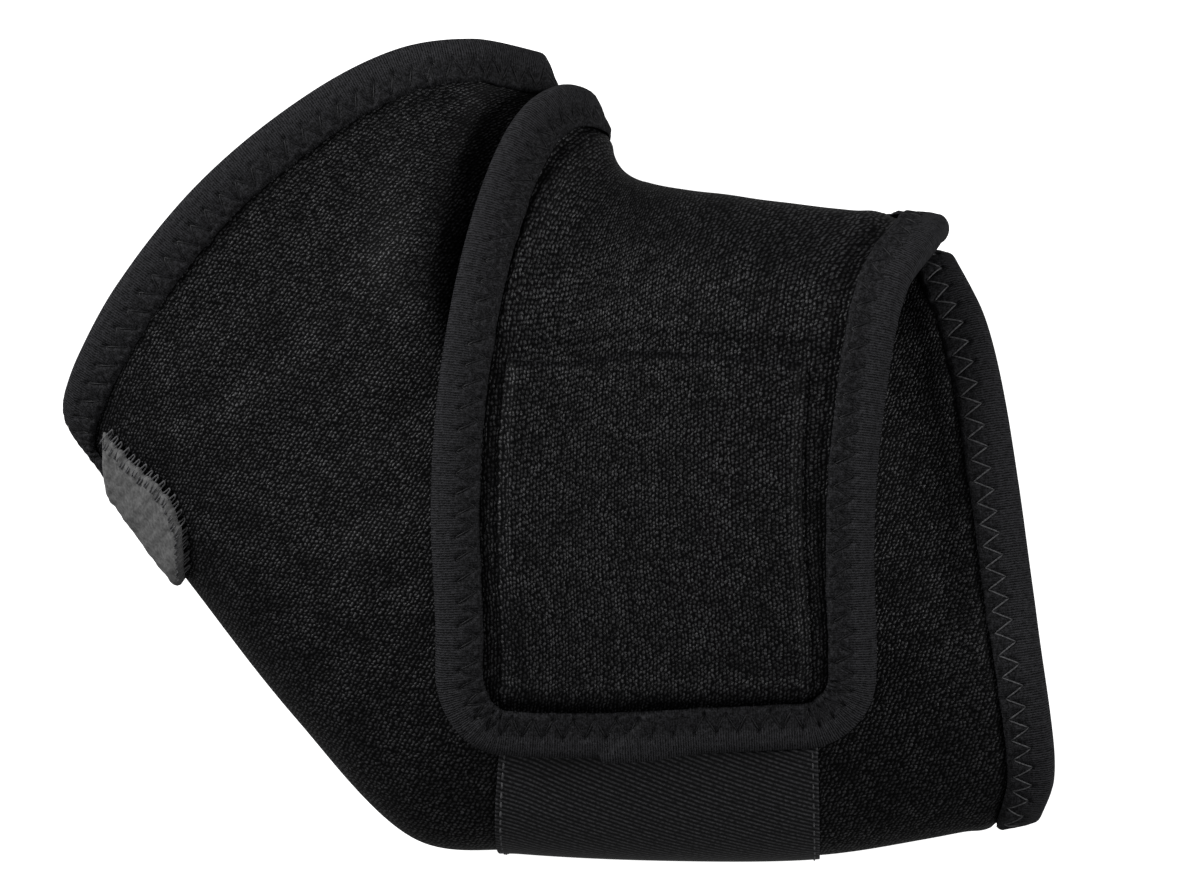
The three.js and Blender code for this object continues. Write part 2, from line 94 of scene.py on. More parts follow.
# %% The cross-sections, as shares of the sizes above
SECTIONS = [
    # station, limb, height, lift, bulge, outer along, outer across, inner along, inner across
    (0.0, "upper", 0.86, 1.0, 1.0, 0.98, -1.0, 0.84, 1.0),
    (0.08, "upper", 0.9, 0.9, 0.6, 0.66, -0.98, 0.81, 0.97),
    (0.16, "upper", 0.94, 0.5, 0.3, 0.36, -0.965, 0.75, 0.94),
    (0.28, "upper", 1.0, 0.0, 0.06, -0.11, -0.925, 0.64, 0.92),
    (0.38, "forearm", 1.0, 0.0, 0.0, -0.185, -1.12, 0.26, 1.18),
    (0.47, "forearm", 0.98, 0.0, 0.0, 0.04, -1.17, 0.33, 1.15),
    (0.6, "forearm", 0.96, 0.0, 0.0, 0.34, -1.195, 0.45, 1.13),
    (0.735, "forearm", 0.94, 0.0, 0.0, 0.63, -1.19, 0.6, 1.09),
    (0.87, "forearm", 0.91, 0.3, 0.4, 0.87, -1.13, 0.75, 1.04),
    (1.0, "forearm", 0.88, 0.9, 1.0, 1.12, -1.045, 0.87, 1.0),
]
UPPER_EDGE = ([0, 0.07, 0.2, 0.4, 0.62, 0.8, 0.92, 1], [0, 0.22, 0.52, 0.83, 0.99, 0.98, 0.8, 0.52])
FOREARM_EDGE = ([0, 0.06, 0.15, 0.4, 0.6, 0.78, 0.9, 1], [-0.6, 0, 0.3, 0.65, 0.98, 1.2, 1.15, 0.7])
CREASES = [
    # from station, from across, to station, to across, depth, spread
    (0.04, 1.02, 0.22, 0.68, 0.085, 0.04),
    (0.05, 0.9, 0.18, 0.62, -0.08, 0.07),
    (0.02, 0.3, 0.2, 0.34, 0.035, 0.1),
    (0.88, 0.9, 0.93, 0.4, 0.06, 0.08),
]


# %% A smooth curve through a table's column
def curve(xs, ys, at):
    """Cubic through the points (xs, ys), each with the slope between its two neighbours."""
    xs, ys, at = np.asarray(xs, float), np.asarray(ys, float), np.asarray(at, float)
    slope = np.empty_like(ys)
    slope[1:-1] = (ys[2:] - ys[:-2]) / (xs[2:] - xs[:-2])
    slope[0] = (ys[1] - ys[0]) / (xs[1] - xs[0])
    slope[-1] = (ys[-1] - ys[-2]) / (xs[-1] - xs[-2])
    i = np.clip(np.searchsorted(xs, at) - 1, 0, len(xs) - 2)
    span = xs[i + 1] - xs[i]
    t = (at - xs[i]) / span
    blend = t * t * (3 - 2 * t)
    bend = slope[i] * t * (1 - t) ** 2 - slope[i + 1] * t * t * (1 - t)
    return ys[i] * (1 - blend) + ys[i + 1] * blend + span * bend


STATIONS = [row[0] for row in SECTIONS]
LIMBS = {
    "upper": (UPPER_AXIS * UPPER_LENGTH, UPPER_ACROSS * UPPER_HALF),
    "forearm": (FOREARM_AXIS * FOREARM_LENGTH, FOREARM_ACROSS * FOREARM_HALF),
}
OUTER = np.array([row[5] * LIMBS[row[1]][0] + row[6] * LIMBS[row[1]][1] for row in SECTIONS])
INNER = np.array([row[7] * LIMBS[row[1]][0] + row[8] * LIMBS[row[1]][1] for row in SECTIONS])
HEIGHT, LIFT, BULGE = ([row[k] for row in SECTIONS] for k in (2, 3, 4))
print("sections", len(SECTIONS), "outer ends", OUTER.round(1).tolist())


# %% The sleeve's outer face
def crease_depth(station, across):
    """Each crease is a valley round a straight line, with the section of a bell curve."""
    depth = np.zeros_like(station)
    for s0, a0, s1, a1, deep, spread in CREASES:
        run = np.array([s1 - s0, a1 - a0])
        share = np.clip(((station - s0) * run[0] + (across - a0) * run[1]) / (run @ run), 0, 1)
        away = np.hypot(station - s0 - share * run[0], across - a0 - share * run[1])
        depth += deep * SLEEVE_HEIGHT * np.exp(-((away / spread) ** 2))
    return depth


def smooth_skin(station, turn, creased=0.0):
    """A point of the sleeve's outer face, in millimetres from the elbow's centre.

    turn is 0 at the elbow-side fold, pi at the crook fold, and rises over the front between them. The
    front is a superellipse over the fold's height. The back is one too, cut flat by the table with a
    soft corner.
    """
    station, turn = np.broadcast_arrays(np.asarray(station, float), np.asarray(turn, float))
    front = np.sin(turn) >= 0
    power = np.where(front, 2 / FRONT_ROUND, 2 / BACK_ROUND)
    side = np.cos(turn)
    rise = np.abs(np.sin(turn)) ** power
    across = (1 - np.sign(side) * np.abs(side) ** power) / 2
    lift = np.maximum(0, curve(STATIONS, LIFT, station)) * OPENING_LIFT
    top = curve(STATIONS, HEIGHT, station) * SLEEVE_HEIGHT - creased * crease_depth(station, across)
    face = FOLD_HEIGHT + (top - FOLD_HEIGHT) * rise
    back = FOLD_HEIGHT - (FOLD_HEIGHT - lift + BACK_SINK) * rise
    soft = np.maximum(BACK_CORNER - np.abs(back - lift), 0)
    back = np.maximum(lift, back) + soft * soft / (4 * BACK_CORNER)
    upper = station < 0.5
    reach = np.where(upper, curve(*UPPER_EDGE, across), curve(*FOREARM_EDGE, across))
    bulge = np.maximum(0, curve(STATIONS, BULGE, station))
    bulge = bulge * np.where(upper, UPPER_BULGE, FOREARM_BULGE)
    stand = reach * bulge * np.where(front, 1, 1 - BACK_EDGE_SHARE * rise)
    axis = np.where(upper[..., None], UPPER_AXIS, FOREARM_AXIS)
    outer = np.stack([curve(STATIONS, OUTER[:, k], station) for k in (0, 1)], -1)
    inner = np.stack([curve(STATIONS, INNER[:, k], station) for k in (0, 1)], -1)
    plan = outer * (1 - across)[..., None] + inner * across[..., None] + axis * stand[..., None]
    return np.concatenate([plan, np.where(front, face, back)[..., None]], -1)


def sleeve_skin(station, turn):
    """The same face with its creases."""
    return smooth_skin(station, turn, 1.0)


# %% [markdown]
# ## Moving about on a surface
#
# Cloth is measured along itself, and not in the numbers of a grid. These helpers stand a point off
# a surface along its normal, walk a distance over it, and turn a distance round a section into an
# angle.


# %% Slopes, offsets and walks
def slopes(surface, u, v, step=1e-3):
    """A surface's two slopes by central differences, and its outward normal, their cross product."""
    along_u = (surface(u + step, v) - surface(u - step, v)) / (2 * step)
    along_v = (surface(u, v + step) - surface(u, v - step)) / (2 * step)
    return along_u, along_v, unit(np.cross(along_u, along_v))


def unit(vectors):
    """Vectors at length 1."""
    return vectors / np.maximum(np.linalg.norm(vectors, axis=-1, keepdims=True), 1e-12)


def raised(face, normal, height):
    """Points of a face moved along their normals by a height, one for all or one for each."""
    return face + normal * np.asarray(height)[..., None]


def face_of(surface, u, v, step=1e-3):
    """Points of a surface and their normals."""
    return surface(u, v), slopes(surface, u, v, step)[2]


def stand_off(surface, u, v, distance):
    """Points that stand off a surface by a distance along its normal."""
    u, v, distance = np.broadcast_arrays(u, v, distance)
    return raised(*face_of(surface, u, v), distance)


def distances(points, axis=0):
    """How far along its line each point lies. The lines run along an axis of the array."""
    total = np.linalg.norm(np.diff(points, axis=axis), axis=-1).cumsum(axis)
    return np.concatenate([np.zeros_like(total.take([0], axis)), total], axis)


def read_at(at, known, *lines):
    """Each line's values at new distances, from its values at known ones."""
    return [np.interp(at, known, line) for line in lines]


def walk(surface, u, v, direction, distance, steps=4):
    """Where a straight walk over the surface ends. Each step solves for the change in u and v."""
    heading = direction
    u, v, distance = (np.array(a, float) for a in np.broadcast_arrays(u, v, distance))
    for _ in range(steps):
        along_u, along_v, normal = slopes(surface, u, v)
        heading = unit(heading - normal * (heading * normal).sum(-1, keepdims=True))
        pairs = (along_u, along_u), (along_v, along_v), (along_u, along_v)
        uu, vv, uv = ((a * b).sum(-1) for a, b in pairs)
        hu, hv = (heading * along_u).sum(-1), (heading * along_v).sum(-1)
        scale = distance / steps / (uu * vv - uv * uv)
        u, v = u + scale * (hu * vv - hv * uv), v + scale * (hv * uu - hu * uv)
    return u, v


# %% Distances round a section and down the elbow-side fold
ARC_STATIONS = np.linspace(-0.02, 1.02, 209)
ARC_TURNS = np.linspace(-math.pi, 3 * math.pi, 2881)
ARC_TURNS -= 0.485 * np.sin(2 * ARC_TURNS)  # closer together at the folds, where a section bends most
ARC = distances(smooth_skin(ARC_STATIONS[:, None], ARC_TURNS[None, :]), 1)
FOLD_ARC = distances(smooth_skin(ARC_STATIONS, 0.0))


def arc(station, turn):
    """Distance round the section from its table's start, read between the table's entries."""
    i = (station - ARC_STATIONS[0]) / (ARC_STATIONS[1] - ARC_STATIONS[0])
    j = np.interp(turn, ARC_TURNS, np.arange(len(ARC_TURNS)))
    i, j = np.clip(i, 0, len(ARC_STATIONS) - 1.001), np.clip(j, 0, len(ARC_TURNS) - 1.001)
    a, b = i.astype(int), j.astype(int)
    s, t = i - a, j - b
    near = ARC[a, b] * (1 - t) + ARC[a, b + 1] * t
    far = ARC[a + 1, b] * (1 - t) + ARC[a + 1, b + 1] * t
    return near * (1 - s) + far * s


def turn_after(station, start, distance):
    """The turn at a distance round the section from a start, found by halving an interval."""
    station, start, distance = np.broadcast_arrays(station, start, distance)
    goal = arc(station, start) + distance
    low, high = np.full(goal.shape, -math.pi), np.full(goal.shape, 3 * math.pi)
    for _ in range(30):
        middle = (low + high) / 2
        short = arc(station, middle) < goal
        low, high = np.where(short, middle, low), np.where(short, high, middle)
    return (low + high) / 2


def station_after(start, distance):
    """The station that lies a distance down the elbow-side fold from another."""
    return np.interp(np.interp(start, ARC_STATIONS, FOLD_ARC) + distance, FOLD_ARC, ARC_STATIONS)


# %% [markdown]
# ## From grids to meshes
#
# A wall of cloth is two copies of a grid, joined round the rim. A tube's grid meets itself, and
# there the two columns share their points, so that the mesh is one closed body.


# %% Meshes from whole arrays
def make_mesh(name, points, faces, uv, material):
    """A mesh object from points in millimetres, faces and a cloth coordinate for each corner.

    A face has four corners. Where the last two are the same point, it is a triangle.
    """
    mesh = bpy.data.meshes.new(name)
    mesh.vertices.add(len(points))
    mesh.vertices.foreach_set("co", ((points + CENTRE) * MM).astype(np.float32).ravel())
    corners = np.where(faces[:, 3] == faces[:, 2], 3, 4)
    keep = np.ones(faces.shape, bool)
    keep[:, 3] = corners == 4
    mesh.loops.add(int(corners.sum()))
    mesh.loops.foreach_set("vertex_index", faces[keep].astype(np.int32))
    mesh.polygons.add(len(faces))
    mesh.polygons.foreach_set("loop_start", np.r_[0, corners.cumsum()[:-1]].astype(np.int32))
    mesh.polygons.foreach_set("use_smooth", np.ones(len(faces), bool))
    layer = mesh.uv_layers.new(name="cloth")
    layer.data.foreach_set("uv", uv[keep].astype(np.float32).ravel())
    mesh.update(calc_edges=True)
    mesh.validate()
    piece = bpy.data.objects.new(name, mesh)
    bpy.context.scene.collection.objects.link(piece)
    mesh.materials.append(material)
    print(name, "points", len(points), "faces", len(faces))
    return piece


def grid_faces(rows, columns):
    """The faces of a grid of points, each by its four point numbers."""
    first = (np.arange(rows - 1)[:, None] * columns + np.arange(columns - 1)[None, :]).ravel()
    return np.stack([first, first + columns, first + columns + 1, first + 1], -1)


def wall(name, outside, inside, cloth, material, joined_from=None, back_cloth=None):
    """A closed wall between two grids of points.

    From row joined_from on, the last column is the first one. cloth is the grid's coordinate in the
    material's millimetres. Where back_cloth is given, it is a pair: a second coordinate, and the
    faces that read it.
    """
    rows, columns = outside.shape[:2]
    number = np.arange(rows * columns).reshape(rows, columns)
    if joined_from is not None:
        number[joined_from:, -1] = number[joined_from:, 0]
    used, fresh = np.unique(number, return_inverse=True)
    fresh = fresh.reshape(rows, columns)
    grid = grid_faces(rows, columns)
    face = fresh.ravel()[grid]
    count = len(used)
    rim = [fresh[0], fresh[-1][::-1]]
    cuts = slice(0, rows if joined_from is None else joined_from + 1)
    rim += [fresh[cuts, -1], fresh[cuts, 0][::-1]]
    strips = [
        np.stack([line[:-1], line[1:], line[1:] + count, line[:-1] + count], -1) for line in rim
    ]
    faces = np.concatenate([face, face[:, ::-1] + count, *strips])
    points = np.concatenate([outside.reshape(-1, 3)[used], inside.reshape(-1, 3)[used]])
    flat = cloth.reshape(-1, 2)
    uv = flat[grid]
    if back_cloth is not None:
        other, reads_it = back_cloth
        uv = np.where(reads_it[:, None, None], other.reshape(-1, 2)[grid], uv)
    rim_uv = [flat[used][np.stack([s[:-1], s[1:], s[1:], s[:-1]], -1)] for s in rim]
    return make_mesh(name, points, faces, np.concatenate([uv, uv[:, ::-1], *rim_uv]), material)


# %% [markdown]
# ## The knit
#
# The jersey on neoprene is a black nylon knit. Its loops stand as small soft dashes in staggered
# columns, about a millimetre apart, and catch more light than the gaps between them. That sheen is
# painted into the colour: lighter loops as a painted highlight, darker gaps as painted shade. The
# pattern is worked out on the cloth's own coordinates, which are millimetres along the cloth, so the
# loops keep their size over every bend.


# %% Helpers for shader nodes, and colours
def add(tree, kind, inputs=None, **settings):
    """Adds a shader node with its settings, and links or sets its inputs by name or number."""
    node = tree.nodes.new("ShaderNode" + kind)
    for name, value in settings.items():
        setattr(node, name, value)
    for key, value in (inputs or {}).items():
        if isinstance(value, bpy.types.NodeSocket):
            tree.links.new(value, node.inputs[key])
        else:
            node.inputs[key].default_value = value
    return node


def maths(tree, operation, *values, clamp=False):
    """Arithmetic on up to three numbers, each of them a value or a socket."""
    node = add(tree, "Math", dict(enumerate(values)), operation=operation, use_clamp=clamp)
    return node.outputs[0]


def vectors(tree, operation, *values):
    """Arithmetic on up to three vectors. A dot product and a length come out as numbers."""
    made = add(tree, "VectorMath", dict(enumerate(values)), operation=operation).outputs
    return made["Value"] if operation in ("DOT_PRODUCT", "LENGTH") else made[0]


def ranged(tree, value, low, high, to_low, to_high, kind="LINEAR"):
    """Carries the range from low to high to another range, and holds still past its ends."""
    inputs = {"Value": value, 1: low, 2: high, 3: to_low, 4: to_high}
    return add(tree, "MapRange", inputs, interpolation_type=kind).outputs[0]


def noise(tree, cloth, scale, detail, roughness=0.5):
    """Cloudy noise over the cloth: its clouds are about one millimetre over the scale in size."""
    inputs = {"Vector": cloth, "Scale": scale, "Detail": detail, "Roughness": roughness}
    return add(tree, "TexNoise", inputs).outputs


def linear(code):
    """An sRGB hex colour as the linear values that shaders use."""
    share = np.array([int(code[i : i + 2], 16) / 255 for i in (0, 2, 4)])
    value = np.where(share <= 0.04045, share / 12.92, ((share + 0.055) / 1.055) ** 2.4)
    return (*value.tolist(), 1.0)


def new_material(name):
    """An empty material with its output, ready for nodes."""
    material = bpy.data.materials.new(name)
    material.use_nodes = True
    tree = material.node_tree
    tree.nodes.clear()
    return material, tree, tree.nodes.new("ShaderNodeOutputMaterial")


def new_cloth(name):
    """An empty material and the coordinate that it reads, in millimetres along the cloth."""
    material, tree, output = new_material(name)
    return material, tree, output, add(tree, "UVMap", uv_map="cloth").outputs["UV"]


def finish_cloth(tree, output, share, colours, height, strength, depth, roughness, shine):
    """Mixes two colours by a share, adds a bump of a depth in millimetres, and ends in a shader."""
    dark, light = (linear(code) for code in colours)
    colour = add(tree, "Mix", {"Factor": share, 6: dark, 7: light}, data_type="RGBA").outputs[2]
    relief = {"Height": height, "Strength": strength, "Distance": depth * MM}
    look = {"Base Color": colour, "Roughness": roughness, "Specular IOR Level": shine}
    look["Normal"] = add(tree, "Bump", relief).outputs[0]
    shader = add(tree, "BsdfPrincipled", look)
    tree.links.new(shader.outputs[0], output.inputs[0])


# %% Knitted nylon jersey on neoprene
WALE, COURSE = 0.88, 1.0  # millimetres between loops, across and along the knit
WANDER = (1.8, 1.8, 0)  # millimetres that the columns wander
JITTER = (0.34, 0.42, 0)  # how far a loop may sit off its place, as a share of the spacing
DASH = (2.7, -0.7, 0), (0.3, 1.9, 0)  # across the dash and along it: it is long, and leans
MIDDLE = (0.5, 0.5, 0.5)


def jersey(name, dark, light):
    """Staggered soft dashes on the cloth's coordinates, each with its own brightness and place.

    The number of the nearest column and row names the loop. The distance from its middle, stretched
    by DASH, fades the loop out, and a random number from its name dims and moves it. The loops'
    brightness is a painted sheen in the colour, and it also sets their shine.
    """
    material, tree, output, cloth = new_cloth(name)
    wander = vectors(tree, "SUBTRACT", noise(tree, cloth, 0.4, 4.0, 0.65)["Color"], MIDDLE)
    place = vectors(tree, "MULTIPLY_ADD", wander, WANDER, cloth)
    place = vectors(tree, "MULTIPLY", place, (1 / WALE, 1 / COURSE, 0))
    parts = add(tree, "SeparateXYZ", {0: place}).outputs
    column = maths(tree, "ROUND", parts["X"])
    along = maths(tree, "MULTIPLY_ADD", column, 0.5, parts["Y"])
    cell = add(tree, "CombineXYZ", {0: column, 1: maths(tree, "ROUND", along)}).outputs[0]
    point = add(tree, "CombineXYZ", {0: parts["X"], 1: along}).outputs[0]
    inside = vectors(tree, "SUBTRACT", point, cell)
    random = add(tree, "TexWhiteNoise", {"Vector": cell}, noise_dimensions="2D").outputs
    jitter = vectors(tree, "SUBTRACT", random["Color"], MIDDLE)
    moved = vectors(tree, "MULTIPLY_ADD", jitter, JITTER, inside)
    leaning = {k: vectors(tree, "DOT_PRODUCT", moved, DASH[k]) for k in (0, 1)}
    away = vectors(tree, "LENGTH", add(tree, "CombineXYZ", leaning).outputs[0])
    loop = ranged(tree, away, 0.1, 1.2, 1.0, 0.0, "SMOOTHSTEP")
    chance = maths(tree, "POWER", random["Value"], 1.3)
    # painted sheen: each loop is lighter in colour than the gaps round it, which hold painted shade
    painted_loop_sheen = maths(tree, "MULTIPLY", loop, ranged(tree, chance, 0.0, 1.0, 0.25, 1.0))
    patch = ranged(tree, noise(tree, cloth, 0.13, 5.0, 0.6)[0], 0.3, 0.7, 0.5, 1.4)
    painted_loop_sheen = maths(tree, "MULTIPLY", painted_loop_sheen, patch, clamp=True)
    shine = maths(tree, "MULTIPLY_ADD", painted_loop_sheen, 0.75, 0.05)
    height = maths(tree, "MULTIPLY_ADD", noise(tree, cloth, 3.0, 2.0)[0], 0.35, loop)
    finish_cloth(tree, output, painted_loop_sheen, (dark, light), height, 0.6, 0.22, 0.5, shine)
    return material


knit = jersey("knitted_nylon_jersey", "09090a", "303033")

# %% [markdown]
# ## The binding's cloth
#
# The edges are bound with a ribbed tape. Its ribs cross the tape about every 0.6 mm and are
# clearest on the rolled outer edge, where they shine a little. That shine is painted into the
# colour as lighter ribs, a painted highlight. Nearer the seam the cloth is brushed and felty.


# %% Ribbed binding tape, thread, hook tape and ribbon
RIB_PITCH = 0.6
RIBS_FADE = 2.5, 6.5  # millimetres in from the edge between which the ribs fade
TWILL = (math.tau * 0.33, math.tau * 0.9, 0)  # a twill line's turns for each millimetre, both ways


def ribbed_tape(name, dark, light):
    """Ribs across the tape, a sine wave that is strongest at its rolled edge, over a fine felt."""
    material, tree, output, cloth = new_cloth(name)
    parts = add(tree, "SeparateXYZ", {0: cloth}).outputs
    felt = noise(tree, cloth, 0.9, 5.0, 0.7)[0]
    shift = maths(tree, "MULTIPLY_ADD", felt, 0.8, parts["X"])
    wave = maths(tree, "SINE", maths(tree, "MULTIPLY", shift, math.tau / RIB_PITCH))
    near_edge = ranged(tree, parts["Y"], *RIBS_FADE, 1.0, 0.15, "SMOOTHSTEP")
    # the ribs are bumps and also a painted highlight in the colour, strongest at the rolled edge
    rib = maths(tree, "MULTIPLY", ranged(tree, wave, -0.6, 1.0, 0.0, 1.0), near_edge)
    fluff = maths(tree, "MULTIPLY", felt, noise(tree, cloth, 2.3, 3.0, 0.7)[0])
    fluff = ranged(tree, fluff, 0.2, 0.42, 0.0, 1.0)
    # painted highlight of the ribs, over the felt's own uneven tone
    rib_sheen_and_felt = maths(tree, "MULTIPLY_ADD", rib, 0.8, fluff, clamp=True)
    height = maths(tree, "MULTIPLY_ADD", felt, 0.7, rib)
    finish_cloth(tree, output, rib_sheen_and_felt, (dark, light), height, 0.7, 0.35, 0.7, 0.12)
    return material


def plain_cloth(name, dark, light, grain, roughness, depth):
    """A fine cloth whose only pattern is a soft grain of a stated size in millimetres."""
    material, tree, output, cloth = new_cloth(name)
    fuzz = noise(tree, cloth, 1 / grain, 3.0)[0]
    share = ranged(tree, fuzz, 0.3, 0.7, 0.0, 1.0)
    finish_cloth(tree, output, share, (dark, light), fuzz, 0.6, depth, roughness, 0.2)
    return material


def twill(name, dark, light):
    """A ribbon's twill: fine broken lines that slant across the cloth, a millimetre apart."""
    material, tree, output, cloth = new_cloth(name)
    grain = noise(tree, cloth, 1.2, 3.0)[0]
    line = vectors(tree, "DOT_PRODUCT", cloth, TWILL)
    wave = maths(tree, "SINE", maths(tree, "MULTIPLY_ADD", grain, 1.4, line))
    broken = ranged(tree, grain, 0.35, 0.65, 0.2, 1.0)
    share = maths(tree, "MULTIPLY", ranged(tree, wave, -0.5, 1.0, 0.0, 1.0), broken)
    finish_cloth(tree, output, share, (dark, light), share, 0.4, 0.12, 0.5, 0.2)
    return material


binding = ribbed_tape("ribbed_nylon_binding", "060607", "3b3b3e")
thread = plain_cloth("black_polyester_thread", "0e0e10", "28282a", 0.4, 0.45, 0.03)
pale_thread = plain_cloth("worn_polyester_thread", "3a3a3c", "707072", 0.6, 0.5, 0.03)
hook_tape = plain_cloth("nylon_hook_tape", "585858", "7c7c7c", 0.8, 0.85, 0.25)
ribbon = twill("polyester_twill_ribbon", "0f0f11", "565659")
print("materials", sorted(bpy.data.materials.keys()))

# %% [markdown]
# ## The sleeve
#
# The real sleeve is one sheet of neoprene, folded and sewn into a tube. Here it is one wall 4 mm
# thick. The binding's seams squeeze the foam at the openings, so the cloth dips under the tape and
# swells just past it, and long shallow waves keep the surface from looking machined.

# %% The sleeve's grid: stations down the arm, turns round it
COLUMNS, CORNER_ROWS, SLIT_ROWS, CLOSING_ROWS, TUBE_ROWS = 236, 12, 31, 7, 149
corner = np.linspace(0, math.pi / 2, CORNER_ROWS)
corner_rows = station_after(0.0, SLIT_CORNER * (1 - np.cos(corner)))
corner_open = SLIT_CORNER * (1 - np.sin(corner)) + SLIT_GAP / 2
slit_end = float(station_after(0.0, SLIT_LENGTH))
slit_last = corner_rows[-1] + (slit_end - corner_rows[-1]) * 0.8  # from here the slit closes
sleeve_rows, opening = corner_rows, corner_open
for goal, gap, count in (
    (slit_last, SLIT_GAP / 2, SLIT_ROWS),
    (slit_end, 0, CLOSING_ROWS),
    (1, 0, TUBE_ROWS),
):
    sleeve_rows = np.r_[sleeve_rows, np.linspace(sleeve_rows[-1], goal, count + 1)[1:]]
    opening = np.r_[opening, np.linspace(opening[-1], gap, count + 1)[1:]]
joined_from = CORNER_ROWS + SLIT_ROWS + CLOSING_ROWS - 1
first = turn_after(sleeve_rows, 0.0, opening - SLIT_SETBACK)
last = math.tau + turn_after(sleeve_rows, 0.0, -opening - SLIT_SETBACK)
turns = first[:, None] + (last - first)[:, None] * np.linspace(0, 1, COLUMNS)
stations = np.broadcast_to(sleeve_rows[:, None], turns.shape)
print("sleeve grid", turns.shape)


# %% How seams and soft waves move the sleeve's face
STITCH, STITCH_IN, STITCH_OUT = 5.2, 9.0, 4.4  # the zigzag's period and its two rows of holes


def ease(low, high, at):
    """A smooth step from 0 at low to 1 at high."""
    t = np.clip((at - low) / (high - low), 0, 1)
    return t * t * (3 - 2 * t)


def waves(plan, amount, length, seed):
    """Long shallow waves, in millimetres: plane waves of different directions over the plan."""
    rng, count = np.random.default_rng(seed), 6
    angle, phase = rng.uniform(0, math.tau, count), rng.uniform(0, math.tau, count)
    size = length * rng.uniform(0.7, 1.5, count)
    x, y = plan[..., 0], plan[..., 1]
    total = sum(
        np.sin(math.tau * (x * math.cos(a) + y * math.sin(a)) / s + p)
        for a, p, s in zip(angle, phase, size)
    )
    return amount * total / count


def seam_relief(inward, along):
    """The cloth's height near a bound edge: pressed down under the tape, swollen past its seam.

    inward is the distance from the edge and along the distance on it, so that the swelling puckers
    between the stitches. The swelling is a bell curve, and the pucker a sine wave that dies away.
    """
    past = inward - TAPE_WIDTH
    swell = 0.5 * np.exp(-(((past - 3.4) / 2.6) ** 2)) * (past > -1)
    fading = np.exp(-np.maximum(past, 0) / 4) * (past > 0)
    pucker = 0.14 * np.sin(math.tau * along / STITCH) * fading
    pressed = -0.7 * (1 - ease(-0.2, 1.6, past))
    return swell + pucker + pressed


face, normals = face_of(sleeve_skin, stations, turns)
from_upper, round_it = distances(face), distances(face, 1)
relief = seam_relief(from_upper, round_it[0])
relief += seam_relief(from_upper[-1] - from_upper, round_it[-1])
on_front = np.clip(np.sin(turns) * 2.5, 0, 1)
relief += (waves(face, 0.9, 46, 5) + waves(face, 0.35, 17, 8)) * on_front
print("relief from", relief.min().round(2), "to", relief.max().round(2), "mm")


# %% Cloth coordinates of the sleeve
FAN = np.array([279.4, 464.0])  # the knit's columns run towards this far point of the table
FAN_REACH = 510


def fanned(plan):
    """Fans a flat cloth: the angle round the far point, as millimetres, and the way to it."""
    way = FAN - plan
    angle = np.arctan2(-way[..., 0], way[..., 1])
    return np.stack([FAN_REACH * angle, -np.linalg.norm(way, axis=-1)], -1)


def flat_cloth(station, turn, middle):
    """Lays the cloth flat: a middle line, with distances round the section measured from it."""
    centre = np.full_like(turn, middle)
    base, ahead, behind = (smooth_skin(station, centre + k)[..., :2] for k in (0, 0.1, -0.1))
    return raised(base, unit(ahead - behind), arc(station, turn) - arc(station, centre))


front_cloth = fanned(flat_cloth(stations, turns, math.pi / 2))
back_flat = fanned(flat_cloth(stations, turns, 1.5 * math.pi))
on_back = (turns[:-1, :-1] > 1.25 * math.pi) & (turns[:-1, :-1] < 1.75 * math.pi)
sleeve_piece = wall(
    "sleeve_neoprene",
    raised(face, normals, relief),
    raised(face, normals, -WALL),
    front_cloth,
    knit,
    joined_from,
    (back_flat, on_back.ravel()),
)
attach(sleeve_piece, "root")
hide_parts("sleeve")

# %% [markdown]
# ## Edge tape
#
# Binding is a strip folded round the edge and sewn through both sides. Its section is a U with a
# round fold. The section is carried along the edge, and each of its points walks inward over the
# cloth, so the tape hugs every bend. Its outer edge is a roll, with a shallow groove where the
# needle has pulled it down.


# %% The tape's section and its sweep
ROLL = 1.6  # how far in the fold of the tape starts to round
TOP_POINTS, FOLD_POINTS, UNDER_POINTS = 23, 13, 7
PATH_STEP = 0.5  # millimetres between the sections of a sweep


def tape_section():
    """Two lines with the same number of points: the tape's outer face and its inner face.

    Each point has a distance in from the edge and a height over the cloth's outer face. The fold is
    half an ellipse round the wall's edge.
    """
    over = SEAT + TAPE_THICK
    angle = np.linspace(math.pi / 2, -math.pi / 2, FOLD_POINTS)
    fold_x = ROLL - (over + ROLL) * np.cos(angle)
    fold_y = (WALL / 2 + over) * np.sin(angle) - WALL / 2
    top_x = np.linspace(TAPE_WIDTH, ROLL, TOP_POINTS + 1)[:-1]
    under_x = np.linspace(ROLL, TAPE_WIDTH, UNDER_POINTS + 1)[1:]
    top, under = np.ones(TOP_POINTS), np.ones(UNDER_POINTS)
    outer_x = np.r_[top_x, fold_x, under_x]
    outer_y = np.r_[over * top, fold_y, -(WALL + over) * under]
    inner_x = np.r_[top_x, np.maximum(fold_x + TAPE_THICK, -SEAT), under_x]
    inner_y = np.r_[SEAT * top, np.clip(fold_y, -WALL - SEAT, SEAT), -(WALL + SEAT) * under]
    return outer_x, outer_y, inner_x, inner_y


def zigzag(along, period, low, high):
    """A zigzag between two distances from the edge, as a distance in for each distance along."""
    share = np.abs(2 * (along / period % 1) - 1)
    return low + (high - low) * share


def edge_path(surface, u, v, step, closed):
    """Even places along a path on a surface, with their distances and the path's direction."""
    known = distances(surface(u, v))
    at = np.linspace(0, known[-1], int(known[-1] / step) + 1)
    u, v = read_at(at, known, u, v)
    points = surface(u, v)
    if closed:
        u, v, at, points = u[:-1], v[:-1], at[:-1], points[:-1]
        along = np.roll(points, -1, 0) - np.roll(points, 1, 0)
    else:
        along = np.gradient(points, axis=0)
    return u, v, at, unit(along)


